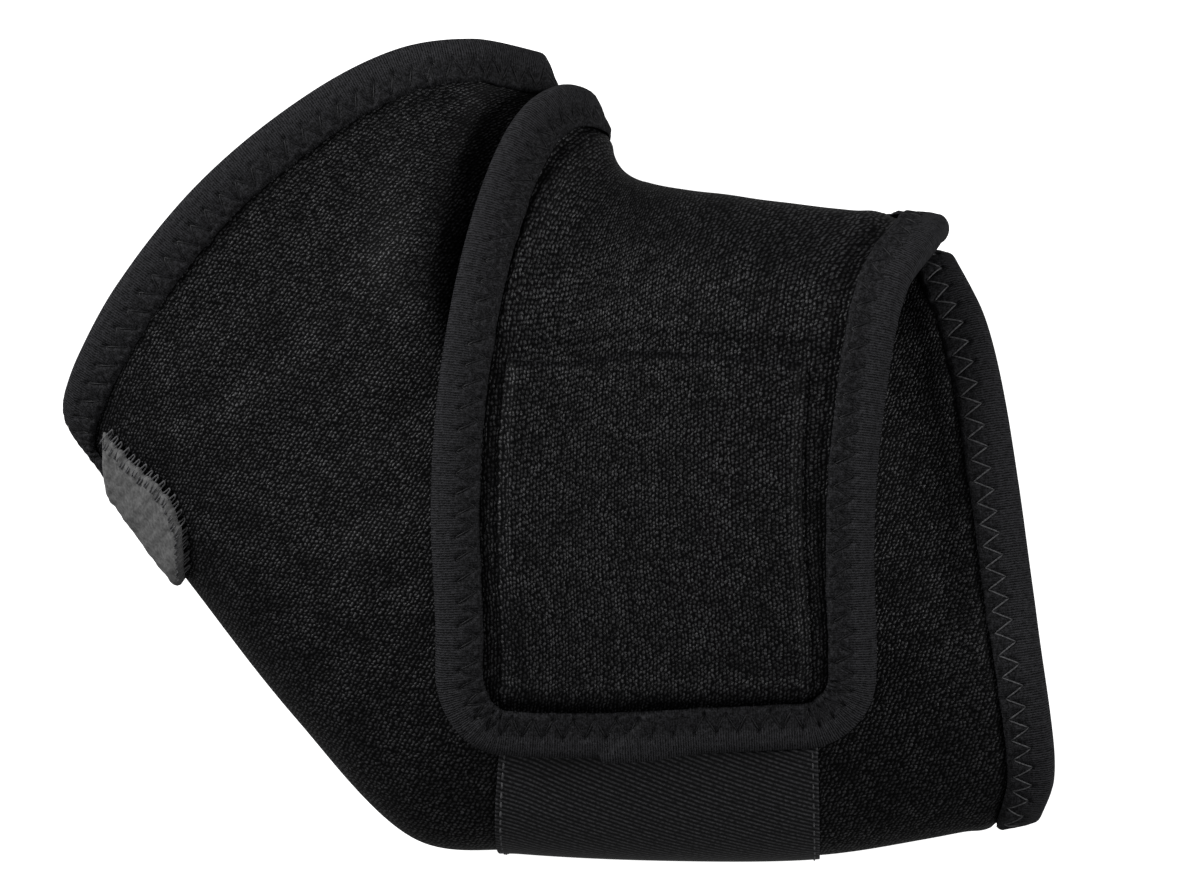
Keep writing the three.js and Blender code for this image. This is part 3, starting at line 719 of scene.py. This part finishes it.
def on_tape(surface, u, v, along, inward, height):
    """Points at distances in from the edge and heights over the cloth, for every place of a path.

    A point past the edge goes straight out from it, and the others walk in over the cloth.
    """
    base, normal = face_of(surface, u, v)
    into = np.cross(normal, along)[:, None]
    past = raised(raised(base[:, None], into, inward), normal[:, None], height)
    to_u, to_v = walk(surface, u[:, None], v[:, None], into, np.maximum(inward, 0))
    return np.where((inward <= 0)[..., None], past, stand_off(surface, to_u, to_v, height))


def seam_on_tape(at, x):
    """The tape's height near its zigzag: creased along the thread and pitted at the needle's holes.

    The crease is a bell curve of the distance from the thread, and a pit one of that from its hole.
    """
    slant = 2 * (STITCH_IN - STITCH_OUT) / STITCH
    off = (x - zigzag(at, STITCH, STITCH_OUT, STITCH_IN)) / math.hypot(1, slant)
    beat = (at / STITCH + 0.5) % 1 - 0.5
    outer_hole = np.hypot((0.5 - np.abs(beat)) * STITCH, x - STITCH_OUT)
    inner_hole = np.hypot(beat * STITCH, x - STITCH_IN)
    pits = sum(np.exp(-((hole / 0.75) ** 2)) for hole in (inner_hole, outer_hole))
    return 0.2 - 0.42 * np.exp(-((off / 0.5) ** 2)) - 0.38 * pits


def bind(name, surface, u, v, closed, seed, lap=None):
    """Sweeps the tape's section along an edge, and presses it down along its zigzag seam.

    lap is how far along the tape's cut end lies over it, on a slant, where one is on show.
    """
    u, v, at, along = edge_path(surface, u, v, PATH_STEP, closed)
    outer_x, outer_y, inner_x, inner_y = tape_section()
    rows, size = len(u), len(outer_x)
    top = outer_y > 0
    rng = np.random.default_rng(seed)
    drift = zip((31, 17, 9), rng.uniform(0, 6, 3))
    drift = sum(np.sin(math.tau * at / length + phase) for length, phase in drift) / 3
    x = outer_x + (0.35 * drift)[:, None] * np.clip((outer_x - 4) / 6, 0, 1)
    sewn = seam_on_tape(at[:, None], x) * ease(1.5, 3.5, x)
    lumps = 0.09 * np.sin(math.tau * at / 2.9 + 3 * np.sin(at / 7))[:, None]
    y = outer_y + np.where(top, sewn + lumps, 0) * (x > -0.2)
    if lap is not None:
        over = ease(lap, lap + 1.2, at[:, None] - 1.3 * np.clip(outer_x, 0, 8))
        over = over * (1 - ease(lap + 9, lap + 26, at))[:, None]
        y += np.where(top, over, 0)
        x -= 1.4 * over * np.clip((6 - outer_x) / 6, 0, 1)
    lip = np.clip((TAPE_WIDTH - outer_x) / 1.3, 0, 1)
    lip = lip * (2 - lip)
    y = np.where(top & (outer_x > 8), (SEAT + 0.1) * (1 - lip) + y * lip, y)
    outer = on_tape(surface, u, v, along, x, y)
    inner_x, inner_y = (np.broadcast_to(line, (rows, size)) for line in (inner_x, inner_y))
    inner = on_tape(surface, u, v, along, inner_x, inner_y)
    ring = np.concatenate([outer, inner[:, ::-1]], 1)
    wide = 2 * size
    numbers = np.arange(rows * wide).reshape(rows, wide)
    numbers = np.concatenate([numbers, numbers[:1]]) if closed else numbers
    looped = np.concatenate([numbers, numbers[:, :1]], 1)
    run = np.r_[at, at[-1] + PATH_STEP] if closed else at
    across = np.r_[outer_x, inner_x[0, ::-1], outer_x[:1]]
    cloth = np.stack(np.broadcast_arrays(run[:, None], across[None, :]), -1)
    corners = slice(None, -1), slice(1, None)
    corners = [(corners[i], corners[k]) for i, k in ((0, 0), (0, 1), (1, 1), (1, 0))]
    faces = np.stack([looped[c] for c in corners], -1).reshape(-1, 4)
    uv = np.stack([cloth[c] for c in corners], -2).reshape(-1, 4, 2)
    if not closed:
        k = np.arange(size - 1)
        cap = np.stack([k, wide - 1 - k, wide - 2 - k, k + 1], -1)
        far = cap[:, ::-1] + (rows - 1) * wide
        faces = np.concatenate([faces, cap, far])
        uv = np.concatenate([uv, np.zeros((2 * len(cap), 4, 2))])
    piece = make_mesh(name, ring.reshape(-1, 3), faces, uv, binding)
    return piece, (u, v, at, along)


# %% [markdown]
# ## Stitches
#
# The zigzag is a thread that lies on the tape between two needle holes and dives at each of them. A
# thin tube is carried along that line. Frames come from the cloth's normal, so the whole seam is
# worked out at once. A lock stitch shows as separate short dashes, each a tube of its own.


# %% A thread along a line of points
def tube(line, normal, radius, sides=6):
    """Rings round a line, set by its direction and the cloth's normal, with a point at each end."""
    along = unit(np.gradient(line, axis=0))
    side = unit(np.cross(along, normal))
    up = np.cross(side, along)
    angle = np.arange(sides) * math.tau / sides
    ring = np.cos(angle)[:, None] * side[:, None] + np.sin(angle)[:, None] * up[:, None]
    rings = line[:, None] + ring * radius
    points = np.concatenate([rings.reshape(-1, 3), line[:1], line[-1:]])
    k = np.arange(sides)
    n = (k + 1) % sides
    first = sides * np.arange(len(line) - 1)[:, None]
    body = np.stack([first + k, first + n, first + sides + n, first + sides + k], -1).reshape(-1, 4)
    tip = np.full(sides, len(line) * sides)
    start = np.stack([n, k, tip, tip], -1)
    end = np.stack([first[-1] + sides + k, first[-1] + sides + n, tip + 1, tip + 1], -1)
    return points, np.concatenate([body, start, end])


def threads(name, tubes, material):
    """Joins tubes into one piece. Their cloth coordinate only carries the thread's fine grain."""
    base = np.cumsum([0] + [len(points) for points, _ in tubes])
    faces = np.concatenate([faces + start for (_, faces), start in zip(tubes, base)])
    points = np.concatenate([points for points, _ in tubes])
    piece = make_mesh(name, points, faces, points[faces][..., :2], material)
    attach(piece, "root")
    return piece


def zigzag_line(surface, path, height):
    """The thread's line: six points for each zig, which sinks at the needle holes."""
    u, v, at, along = path
    fine = np.arange(at[0], at[-1], STITCH / 12)
    fu, fv = read_at(fine, at, u, v)
    heading = unit(np.stack(read_at(fine, at, *along.T), -1))
    inward = zigzag(fine, STITCH, STITCH_OUT, STITCH_IN)
    near_hole = np.minimum(fine / (STITCH / 2) % 1, 1 - fine / (STITCH / 2) % 1)
    lift = height - 0.6 * np.exp(-((near_hole / 0.14) ** 2))
    line = on_tape(surface, fu, fv, heading, inward[:, None], lift[:, None])[:, 0]
    return line, slopes(surface, fu, fv)[2]


def dashes(surface, u, v, height, pitch, length, radius):
    """Separate stitches along a path on a surface, each a short tube that dives at both ends."""
    known = distances(surface(u, v))
    share = np.linspace(0, 1, 7)
    lifted = height - 3 * radius * (2 * share - 1) ** 4
    made = []
    for start in np.arange(0.3, known[-1] - length, pitch):
        face, normal = face_of(surface, *read_at(start + share * length, known, u, v))
        made.append(tube(raised(face, normal, lifted), normal, radius))
    return made


# %% The two openings' bindings
bound = CORNER_ROWS + SLIT_ROWS - 4  # rows of the slit with tape, whose cut ends lie under the tab
upper_u = np.r_[sleeve_rows[:bound][::-1], np.zeros(COLUMNS - 2), sleeve_rows[:bound]]
upper_v = np.r_[turns[:bound, -1][::-1], turns[0, 1:-1][::-1], turns[:bound, 0]]
upper_tape, upper_path = bind("upper_binding", sleeve_skin, upper_u, upper_v, False, 2)
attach(upper_tape, "root")
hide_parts("upper_edge_tape")

forearm_u, forearm_v = np.ones(COLUMNS), turns[-1]
forearm_tape, forearm_path = bind("forearm_binding", sleeve_skin, forearm_u, forearm_v, True, 4)
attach(forearm_tape, "root")
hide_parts("forearm_edge_tape")

# %% [markdown]
# ## The flap
#
# The flap is a panel of the same neoprene, sewn on behind the crook. It comes over the crook fold
# and lies on the front of the sleeve. It is worked out as a place on the sleeve for each of its
# points, lifted off by what lies between, and its forearm edge stands off in a soft roll near the
# crook.

# %% The flap's surface over the sleeve
FLAP_ROWS = [
    # up, middle station, left side, right side, lift on the left, lift on the right
    (0, 0.57, -0.46, 0.5, 0, 0),
    (0.15, 0.565, -0.465, 0.49, 0, 0),
    (0.35, 0.55, -0.48, 0.46, 0, 0.1),
    (0.6, 0.53, -0.48, 0.43, 0.1, 0.5),
    (0.8, 0.52, -0.47, 0.41, 0.25, 1),
    (0.92, 0.52, -0.452, 0.45, 0.2, 0.6),
    (1, 0.52, -0.42, 0.46, 0.1, 0.16),
    (2, 0.52, -0.4, 0.34, 0, 0),
]
FREE_END_SLANT = -0.06
FLAP_SEAT, TAIL_SEAT = SEAT + HOOK_THICK + SEAT, SEAT + TAPE_THICK + SEAT


def flap_curve(up, column):
    """One column of the flap's table as a smooth curve over up."""
    return curve([row[0] for row in FLAP_ROWS], [row[column] for row in FLAP_ROWS], up)


def under_flap(across, up):
    """The place on the sleeve under a point of the flap, as station and turn."""
    middle, left, right = (flap_curve(up, k) for k in (1, 2, 3))
    evened = across - FLAP_EVENING * across * (1 - across)
    side = left * (1 - evened) + right * evened
    length = FLAP_DROP * (1 + FREE_END_SLANT * (2 * across - 1))
    from_fold = (up - 1) * np.where(up < 1, length, FLAP_TAIL)
    middle_turn = turn_after(middle, math.pi, from_fold)
    ahead, behind = (smooth_skin(middle + k, middle_turn) for k in (1e-3, -1e-3))
    pace = (ahead - behind) / 2e-3
    station = middle + side * FLAP_WIDTH / np.linalg.norm(pace, axis=-1)
    return station, turn_after(station, math.pi, from_fold)


def flap_skin(across, up):
    """The flap's outer face."""
    across, up = np.broadcast_arrays(np.asarray(across, float), np.asarray(up, float))
    left, right = (np.maximum(0, flap_curve(up, k)) for k in (4, 5))
    lift = left * (1 - across) ** 2 + right * across**2
    seat = FLAP_SEAT + (TAIL_SEAT - FLAP_SEAT) * ease(1, 2, up)
    return stand_off(smooth_skin, *under_flap(across, up), seat + lift * FLAP_LIFT + WALL)


# The exact surface is slow to work out, so it is read once on a grid, as a smooth patch. The patch
# counts from the free end as run, in drops of the flap, and keeps that pace past the crook fold.
TAIL_END = 1 + FLAP_TAIL / FLAP_DROP
PATCH_A, PATCH_R = np.linspace(-0.03, 1.03, 90), np.linspace(-0.03, TAIL_END + 0.01, 220)
PATCH_UP = np.where(PATCH_R < 1, PATCH_R, 1 + (PATCH_R - 1) / (TAIL_END - 1))
PATCH = flap_skin(PATCH_A[:, None], PATCH_UP[None, :])


def flap_face(across, run):
    """The flap's outer face read from the grid by cubic curves through four neighbours each way."""
    across, run = np.broadcast_arrays(np.asarray(across, float), np.asarray(run, float))
    weights, starts = [], []
    for line, at in ((PATCH_A, across), (PATCH_R, run)):
        i = np.clip(np.searchsorted(line, at) - 2, 0, len(line) - 4)
        x = [line[i + k] for k in range(4)]
        terms = [[(at - x[j]) / (x[k] - x[j]) for j in range(4) if j != k] for k in range(4)]
        weights.append([a * b * c for a, b, c in terms])
        starts.append(i)
    total = 0
    for k in range(4):
        for m in range(4):
            weight = weights[0][k] * weights[1][m]
            total = total + weight[..., None] * PATCH[starts[0] + k, starts[1] + m]
    return total


print("flap patch", PATCH.shape, "top", PATCH[..., 2].max().round(1))

# %% [markdown]
# The rectangle of hook tape behind the flap shows on its front as a raised pad inside a sewn
# groove. The groove is deepest at its stitches, where the thread pulls the foam down.

# %% The flap's grid and relief
ROUND = np.linspace(0, math.pi / 2, 14)
round_run = FLAP_CORNER * (1 - np.cos(ROUND)) / FLAP_DROP
round_in = FLAP_CORNER * (1 - np.sin(ROUND)) / FLAP_WIDTH
flap_run = np.r_[round_run, np.linspace(round_run[-1], 1, 150)[1:]]
flap_run = np.r_[flap_run, np.linspace(1, TAIL_END, 24)[1:]]
flap_inset = np.r_[round_in, np.zeros(len(flap_run) - len(ROUND))]
share = np.linspace(0, 1, 150)[:, None]
flap_across = flap_inset * (1 - share) + (1 - flap_inset) * share
flap_runs = np.broadcast_to(flap_run, flap_across.shape)
side_mm, drop_mm = flap_across * FLAP_WIDTH, flap_runs * FLAP_DROP

PATCH_DROOP, LOCK_PITCH, LOCK_LENGTH, LOCK_DEPTH = 12, 3.2, 2.6, 0.85


def patch_high(side):
    """The sewn rectangle's upper edge. It droops to the left, where the flap is drawn up."""
    to_left = np.clip((0.5 - side / FLAP_WIDTH) / 0.36, 0, 1)
    return PATCH_INSET + PATCH_LENGTH - PATCH_DROOP * to_left**1.3


def from_patch(side, drop):
    """Signed distance into the sewn rectangle: positive inside, with round corners outside."""
    out_of_width = np.abs(side - FLAP_WIDTH / 2) - PATCH_WIDTH / 2
    beyond = np.stack([out_of_width, np.maximum(PATCH_INSET - drop, drop - patch_high(side))])
    outside = np.linalg.norm(np.maximum(beyond, 0), axis=0)
    return -(outside + np.minimum(beyond.max(0), 0))


def flap_relief(side, drop):
    """The flap's height over its plain face: the pad, the sewn groove round it, and soft waves."""
    into = from_patch(side, drop)
    pad = 2.1 * ease(-0.4, 2.6, into) - 0.5 * ease(4, 30, into)
    stitches = 0.85 + 0.15 * np.cos(math.tau * (side + drop) / LOCK_PITCH)
    groove = -1.1 * np.exp(-(((into + 0.4) / 0.9) ** 2)) * stitches
    valley = -0.8 * np.exp(-(((into + 2.6) / 1.8) ** 2))
    return pad + groove + valley


from_side = np.minimum(side_mm, FLAP_WIDTH - side_mm)
corner_x, corner_y = (np.maximum(FLAP_CORNER - far, 0) for far in (from_side, drop_mm))
in_corner = (corner_x > 0) & (corner_y > 0)
from_corner = FLAP_CORNER - np.hypot(corner_x, corner_y)
from_edge = np.where(in_corner, from_corner, np.minimum(from_side, drop_mm))
relief = flap_relief(side_mm, drop_mm) + seam_relief(from_edge, side_mm + drop_mm)
flat_mm = np.stack([side_mm, drop_mm], -1)
relief += (waves(flat_mm, 0.8, 50, 21) + waves(flat_mm, 0.25, 16, 22)) * ease(2, 20, from_edge)
flap_plain, flap_normal = face_of(flap_face, flap_across, flap_runs, 2e-3)
flap_piece = wall(
    "flap_neoprene",
    raised(flap_plain, flap_normal, relief),
    raised(flap_plain, flap_normal, -WALL),
    flat_mm,
    knit,
)
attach(flap_piece, "root")
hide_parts("flap")

# %% The flap's binding, from its sewn end down one side, across the free end and up the other
side_runs = np.linspace(round_run[-1], TAIL_END, 60)
left_run = np.r_[side_runs[::-1], round_run[::-1][1:]]
left_in = np.r_[np.zeros(len(side_runs)), round_in[::-1][1:]]
end_in = np.linspace(round_in[0], 1 - round_in[0], 40)[1:-1]
flap_u = np.r_[left_in, end_in, 1 - left_in[::-1]]
flap_v = np.r_[left_run, np.zeros(len(end_in)), left_run[::-1]]
LAP = 245  # where the tape's cut end lies over it, from the sewn end down the left edge
flap_tape, flap_path = bind("flap_binding", flap_face, flap_u, flap_v, False, 6, LAP)
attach(flap_tape, "root")
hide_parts("flap_edge_tape")

# %% The zigzag threads of all three bindings
ZIGZAG_RADIUS, THREAD_RADIUS = 0.2, 0.22
upper_zigzag = tube(*zigzag_line(sleeve_skin, upper_path, 1.25), ZIGZAG_RADIUS)
flap_zigzag = tube(*zigzag_line(flap_face, flap_path, 1.25), ZIGZAG_RADIUS)
zigzag_piece = threads("zigzag_threads", [upper_zigzag, flap_zigzag], thread)
forearm_zigzag = tube(*zigzag_line(sleeve_skin, forearm_path, 1.3), ZIGZAG_RADIUS)
forearm_zigzag_piece = threads("forearm_zigzag_thread", [forearm_zigzag], pale_thread)

# %% [markdown]
# The hook patch is sewn on behind the flap, and its lock stitches lie deep in the groove on the
# front. The top line of the sewn rectangle is drawn where the photograph has it, straight across
# the flap.

# %% The lock stitches in the groove round the hook patch
patch_side = (FLAP_WIDTH - PATCH_WIDTH) / 2 / FLAP_WIDTH
wide_run, still = np.linspace(patch_side, 1 - patch_side, 120), np.ones(120)
upper_run, lower_run = patch_high(wide_run * FLAP_WIDTH) / FLAP_DROP, PATCH_INSET / FLAP_DROP
round_patch = [
    (wide_run, lower_run * still),
    ((1 - patch_side) * still, np.linspace(lower_run, upper_run[-1], 120)),
    (wide_run, upper_run),
    (patch_side * still, np.linspace(lower_run, upper_run[0], 120)),
]
lock_sizes = -LOCK_DEPTH, LOCK_PITCH, LOCK_LENGTH, THREAD_RADIUS
lock_stitches = [one for u, v in round_patch for one in dashes(flap_face, u, v, *lock_sizes)]
lock_piece = threads("patch_stitches", lock_stitches, thread)
print("lock stitches", len(lock_stitches))


# %% The hook patch behind the flap
patch_across = np.linspace(patch_side, 1 - patch_side, 76)[:, None]
patch_run = np.linspace(PATCH_INSET, PATCH_INSET + PATCH_LENGTH, 84)[None, :] / FLAP_DROP
patch_across, patch_run = np.broadcast_arrays(patch_across, patch_run)
patch_face, patch_normal = face_of(flap_face, patch_across, patch_run, 2e-3)
hooks = wall(
    "hook_patch_sheet",
    raised(patch_face, patch_normal, -(WALL + SEAT)),
    raised(patch_face, patch_normal, -(WALL + SEAT + HOOK_THICK)),
    np.stack([patch_across * FLAP_WIDTH, patch_run * FLAP_DROP], -1),
    hook_tape,
)
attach(hooks, "root")
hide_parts("hook_patch")

# %% [markdown]
# ## Label and tab
#
# Both are patches on the elbow side. The label is a woven ribbon with its long ends under the flap
# and round the fold, and a line of stitches down each short side. The tab is brushed hook tape that
# bridges the slit. Its front edge bows out and is overcast with loops of thread, and its face is
# lumpy like felt.


# %% A patch laid on the elbow-side fold
def fold_patch(start, length, lean, back_reach, front_reach, line, columns):
    """Places on the sleeve for a patch, with their distances down the fold and round it.

    Rows run down the fold, and columns from the back to the front. line is each row's share of the
    front reach.
    """
    rows, steps = np.linspace(0, 1, len(line)), np.linspace(0, 1, columns)
    share, around = np.meshgrid(rows, steps, indexing="ij")
    distance = -back_reach + (front_reach * line[:, None] + back_reach) * around
    down = share * length - (1 - share) * lean * distance / front_reach
    station = station_after(start, down)
    return station, turn_after(station, 0.0, distance), down, distance


label_sizes = LABEL_WIDTH, LABEL_LEAN, LABEL_BACK, LABEL_FRONT
label_places = fold_patch(LABEL_STATION, *label_sizes, np.ones(120), 76)
label_station, label_turn, label_down, label_round = label_places
label_face, label_normal = face_of(smooth_skin, label_station, label_turn)
label_wave = 0.12 * np.sin(label_down / 5.3 + 0.4 * np.sin(label_round / 6))
label_seat = SEAT + label_wave * np.clip(label_round / 20, 0, 1)
label_piece = wall(
    "woven_label",
    raised(label_face, label_normal, label_seat + LABEL_THICK),
    raised(label_face, label_normal, label_seat),
    np.stack([label_down, label_round], -1),
    ribbon,
)
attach(label_piece, "root")
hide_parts("label")

ends = [(label_station[row, 8:], label_turn[row, 8:]) for row in (2, -3)]
end_sizes = SEAT + 0.6, 2.6, 1.9, THREAD_RADIUS
label_stitches = [one for u, v in ends for one in dashes(smooth_skin, u, v, *end_sizes)]
label_stitch_piece = threads("label_stitches", label_stitches, pale_thread)


# %% The hook tape tab
TAB_ROWS = 130
TAB_FRONT_LINE = ([0, 0.3, 0.62, 0.8, 0.92, 1], [0.84, 0.94, 1.1, 1.0, 0.72, 0.46])
tab_start = float(station_after(0, TAB_FROM_OPENING))
tab_line = curve(*TAB_FRONT_LINE, np.linspace(0, 1, TAB_ROWS))
tab_row = np.arange(TAB_ROWS)
tab_line += 0.012 * np.sin(tab_row * 0.55) + 0.01 * np.sin(tab_row * 0.31)
tab_places = fold_patch(tab_start, TAB_LENGTH, TAB_LEAN, TAB_BACK, TAB_FRONT, tab_line, 110)
tab_station, tab_turn, tab_down, tab_round = tab_places
tab_share = np.linspace(0, 1, TAB_ROWS)[:, None]
tab_rim = np.minimum(tab_share, 1 - tab_share) * TAB_LENGTH
tab_rim = np.minimum(tab_rim, TAB_FRONT * tab_line[:, None] - tab_round)
tab_rim = np.minimum(tab_rim, tab_round + TAB_BACK)
tab_low = SEAT + TAPE_THICK + SEAT
tab_edge = np.sqrt(np.clip(1 - (1 - np.clip(tab_rim / 3.2, 0, 1)) ** 2, 0, 1))
tab_high = tab_low + 0.3 + (HOOK_THICK - 0.3) * tab_edge
tab_flat = np.stack([tab_down, tab_round], -1)
tab_high += (waves(tab_flat, 0.5, 9, 31) + waves(tab_flat, 0.25, 3.2, 32)) * tab_edge
tab_face, tab_normal = face_of(smooth_skin, tab_station, tab_turn)
tab_piece = wall(
    "slit_tab_sheet",
    raised(tab_face, tab_normal, tab_high),
    raised(tab_face, tab_normal, tab_low),
    tab_flat,
    hook_tape,
)
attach(tab_piece, "root")
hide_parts("slit_tab")

# %% The overcast stitches along the tab's front edge
front_run = distances(tab_face[:, -1])
rng = np.random.default_rng(41)
overcast, loop_places = [], np.arange(1.2, front_run[-1] - 1, 2.1)
sweep = np.linspace(-1, 1, 11)  # along one loop, which is widest past the edge in its middle
beyond = 1.1 - 3.1 * sweep**2
height = np.where(beyond > 0, SEAT, tab_low + HOOK_THICK * ease(0.2, -1.6, beyond) + 0.1)
for place in loop_places + rng.uniform(-0.3, 0.3, len(loop_places)):
    row = np.interp(place + 0.8 * sweep + 0.4 * sweep**2, front_run, tab_row)
    u, v = read_at(row, tab_row, tab_station[:, -1], tab_turn[:, -1])
    face, normal = face_of(smooth_skin, u, turn_after(u, v, beyond))
    overcast.append(tube(raised(face, normal, height), normal, THREAD_RADIUS))
overcast_piece = threads("tab_overcast", overcast, pale_thread)

# %% [markdown]
# ## Floor, light and camera
#
# The photograph is a cut-out: a pure white ground with no shadow, and edges that carry no light
# from it. So the floor is white in itself and lights nothing else. A soft lamp low at the upper
# left grazes the knit and gives the direction, a weaker one does the same from the right, and a dim
# even sky fills the shadows.

# %% Floor
floor_mesh = bpy.data.meshes.new("floor")
floor_mesh.from_pydata([(-4, -4, 0), (4, -4, 0), (4, 4, 0), (-4, 4, 0)], [], [(0, 1, 2, 3)])
floor = bpy.data.objects.new("floor", floor_mesh)
bpy.context.scene.collection.objects.link(floor)
acrylic, tree, output = new_material("white_acrylic")
look = {"Base Color": (0.9, 0.9, 0.9, 1), "Roughness": 0.9}
glow = {"Emission Color": (1, 1, 1, 1), "Emission Strength": 1.0}
shader = add(tree, "BsdfPrincipled", look | glow)
tree.links.new(shader.outputs[0], output.inputs[0])
floor_mesh.materials.append(acrylic)
floor.visible_diffuse = floor.visible_glossy = False

# %% Light
world = bpy.data.worlds.new("studio")
bpy.context.scene.world = world
world.use_nodes = True
sky = world.node_tree.nodes["Background"]
sky.inputs["Color"].default_value = (1, 1, 1, 1)
sky.inputs["Strength"].default_value = 0.2


def lamp(name, place, size, watts):
    """A square soft lamp that faces the elbow, whose middle is 30 mm up."""
    data = bpy.data.lights.new(name, "AREA")
    data.size, data.energy = size, watts
    light = bpy.data.objects.new(name, data)
    light.location = place
    away = np.array(place) - (0, 0, 0.03)
    tilt, heading = math.acos(away[2] / np.linalg.norm(away)), math.atan2(away[0], -away[1])
    light.rotation_euler = (tilt, 0, heading)
    bpy.context.scene.collection.objects.link(light)


lamp("key", (-1.15, 0.75, 0.65), 0.5, 18)
lamp("fill", (1.3, 0.15, 0.6), 0.6, 8)
bpy.context.scene.view_settings.view_transform = "Standard"

# %% Camera straight above
PHOTO_WIDTH, PIXELS_PER_MM = 1200, 4.2
CAMERA_AWAY, SENSOR = 5, 36  # metres from the middle of the support's height, and millimetres
camera_data = bpy.data.cameras.new("camera")
camera = bpy.data.objects.new("camera", camera_data)
bpy.context.scene.collection.objects.link(camera)
bpy.context.scene.camera = camera
camera.location = (0.009939, 0.001645, CAMERA_AWAY + 0.03)
camera_data.sensor_width = SENSOR
camera_data.lens = SENSOR * CAMERA_AWAY / (PHOTO_WIDTH / PIXELS_PER_MM * MM)
camera_data.clip_end = 20
print("camera", tuple(camera.location), "lens", round(camera_data.lens, 1), "mm")

# %% [markdown]
# ## What the cloth was cut from
#
# The label, the hook patch and the tab have stated sizes. The flap's is worked out and printed
# here: the mean distance across it and along it, in the middle of the foam.

flap_middle = raised(flap_plain, flap_normal, -WALL / 2)
flap_wide = float(distances(flap_middle)[-1, len(ROUND) :].mean())
flap_long = float(distances(flap_middle, 1)[:, -1].mean())
print("flap across", round(flap_wide, 1), "along", round(flap_long, 1))
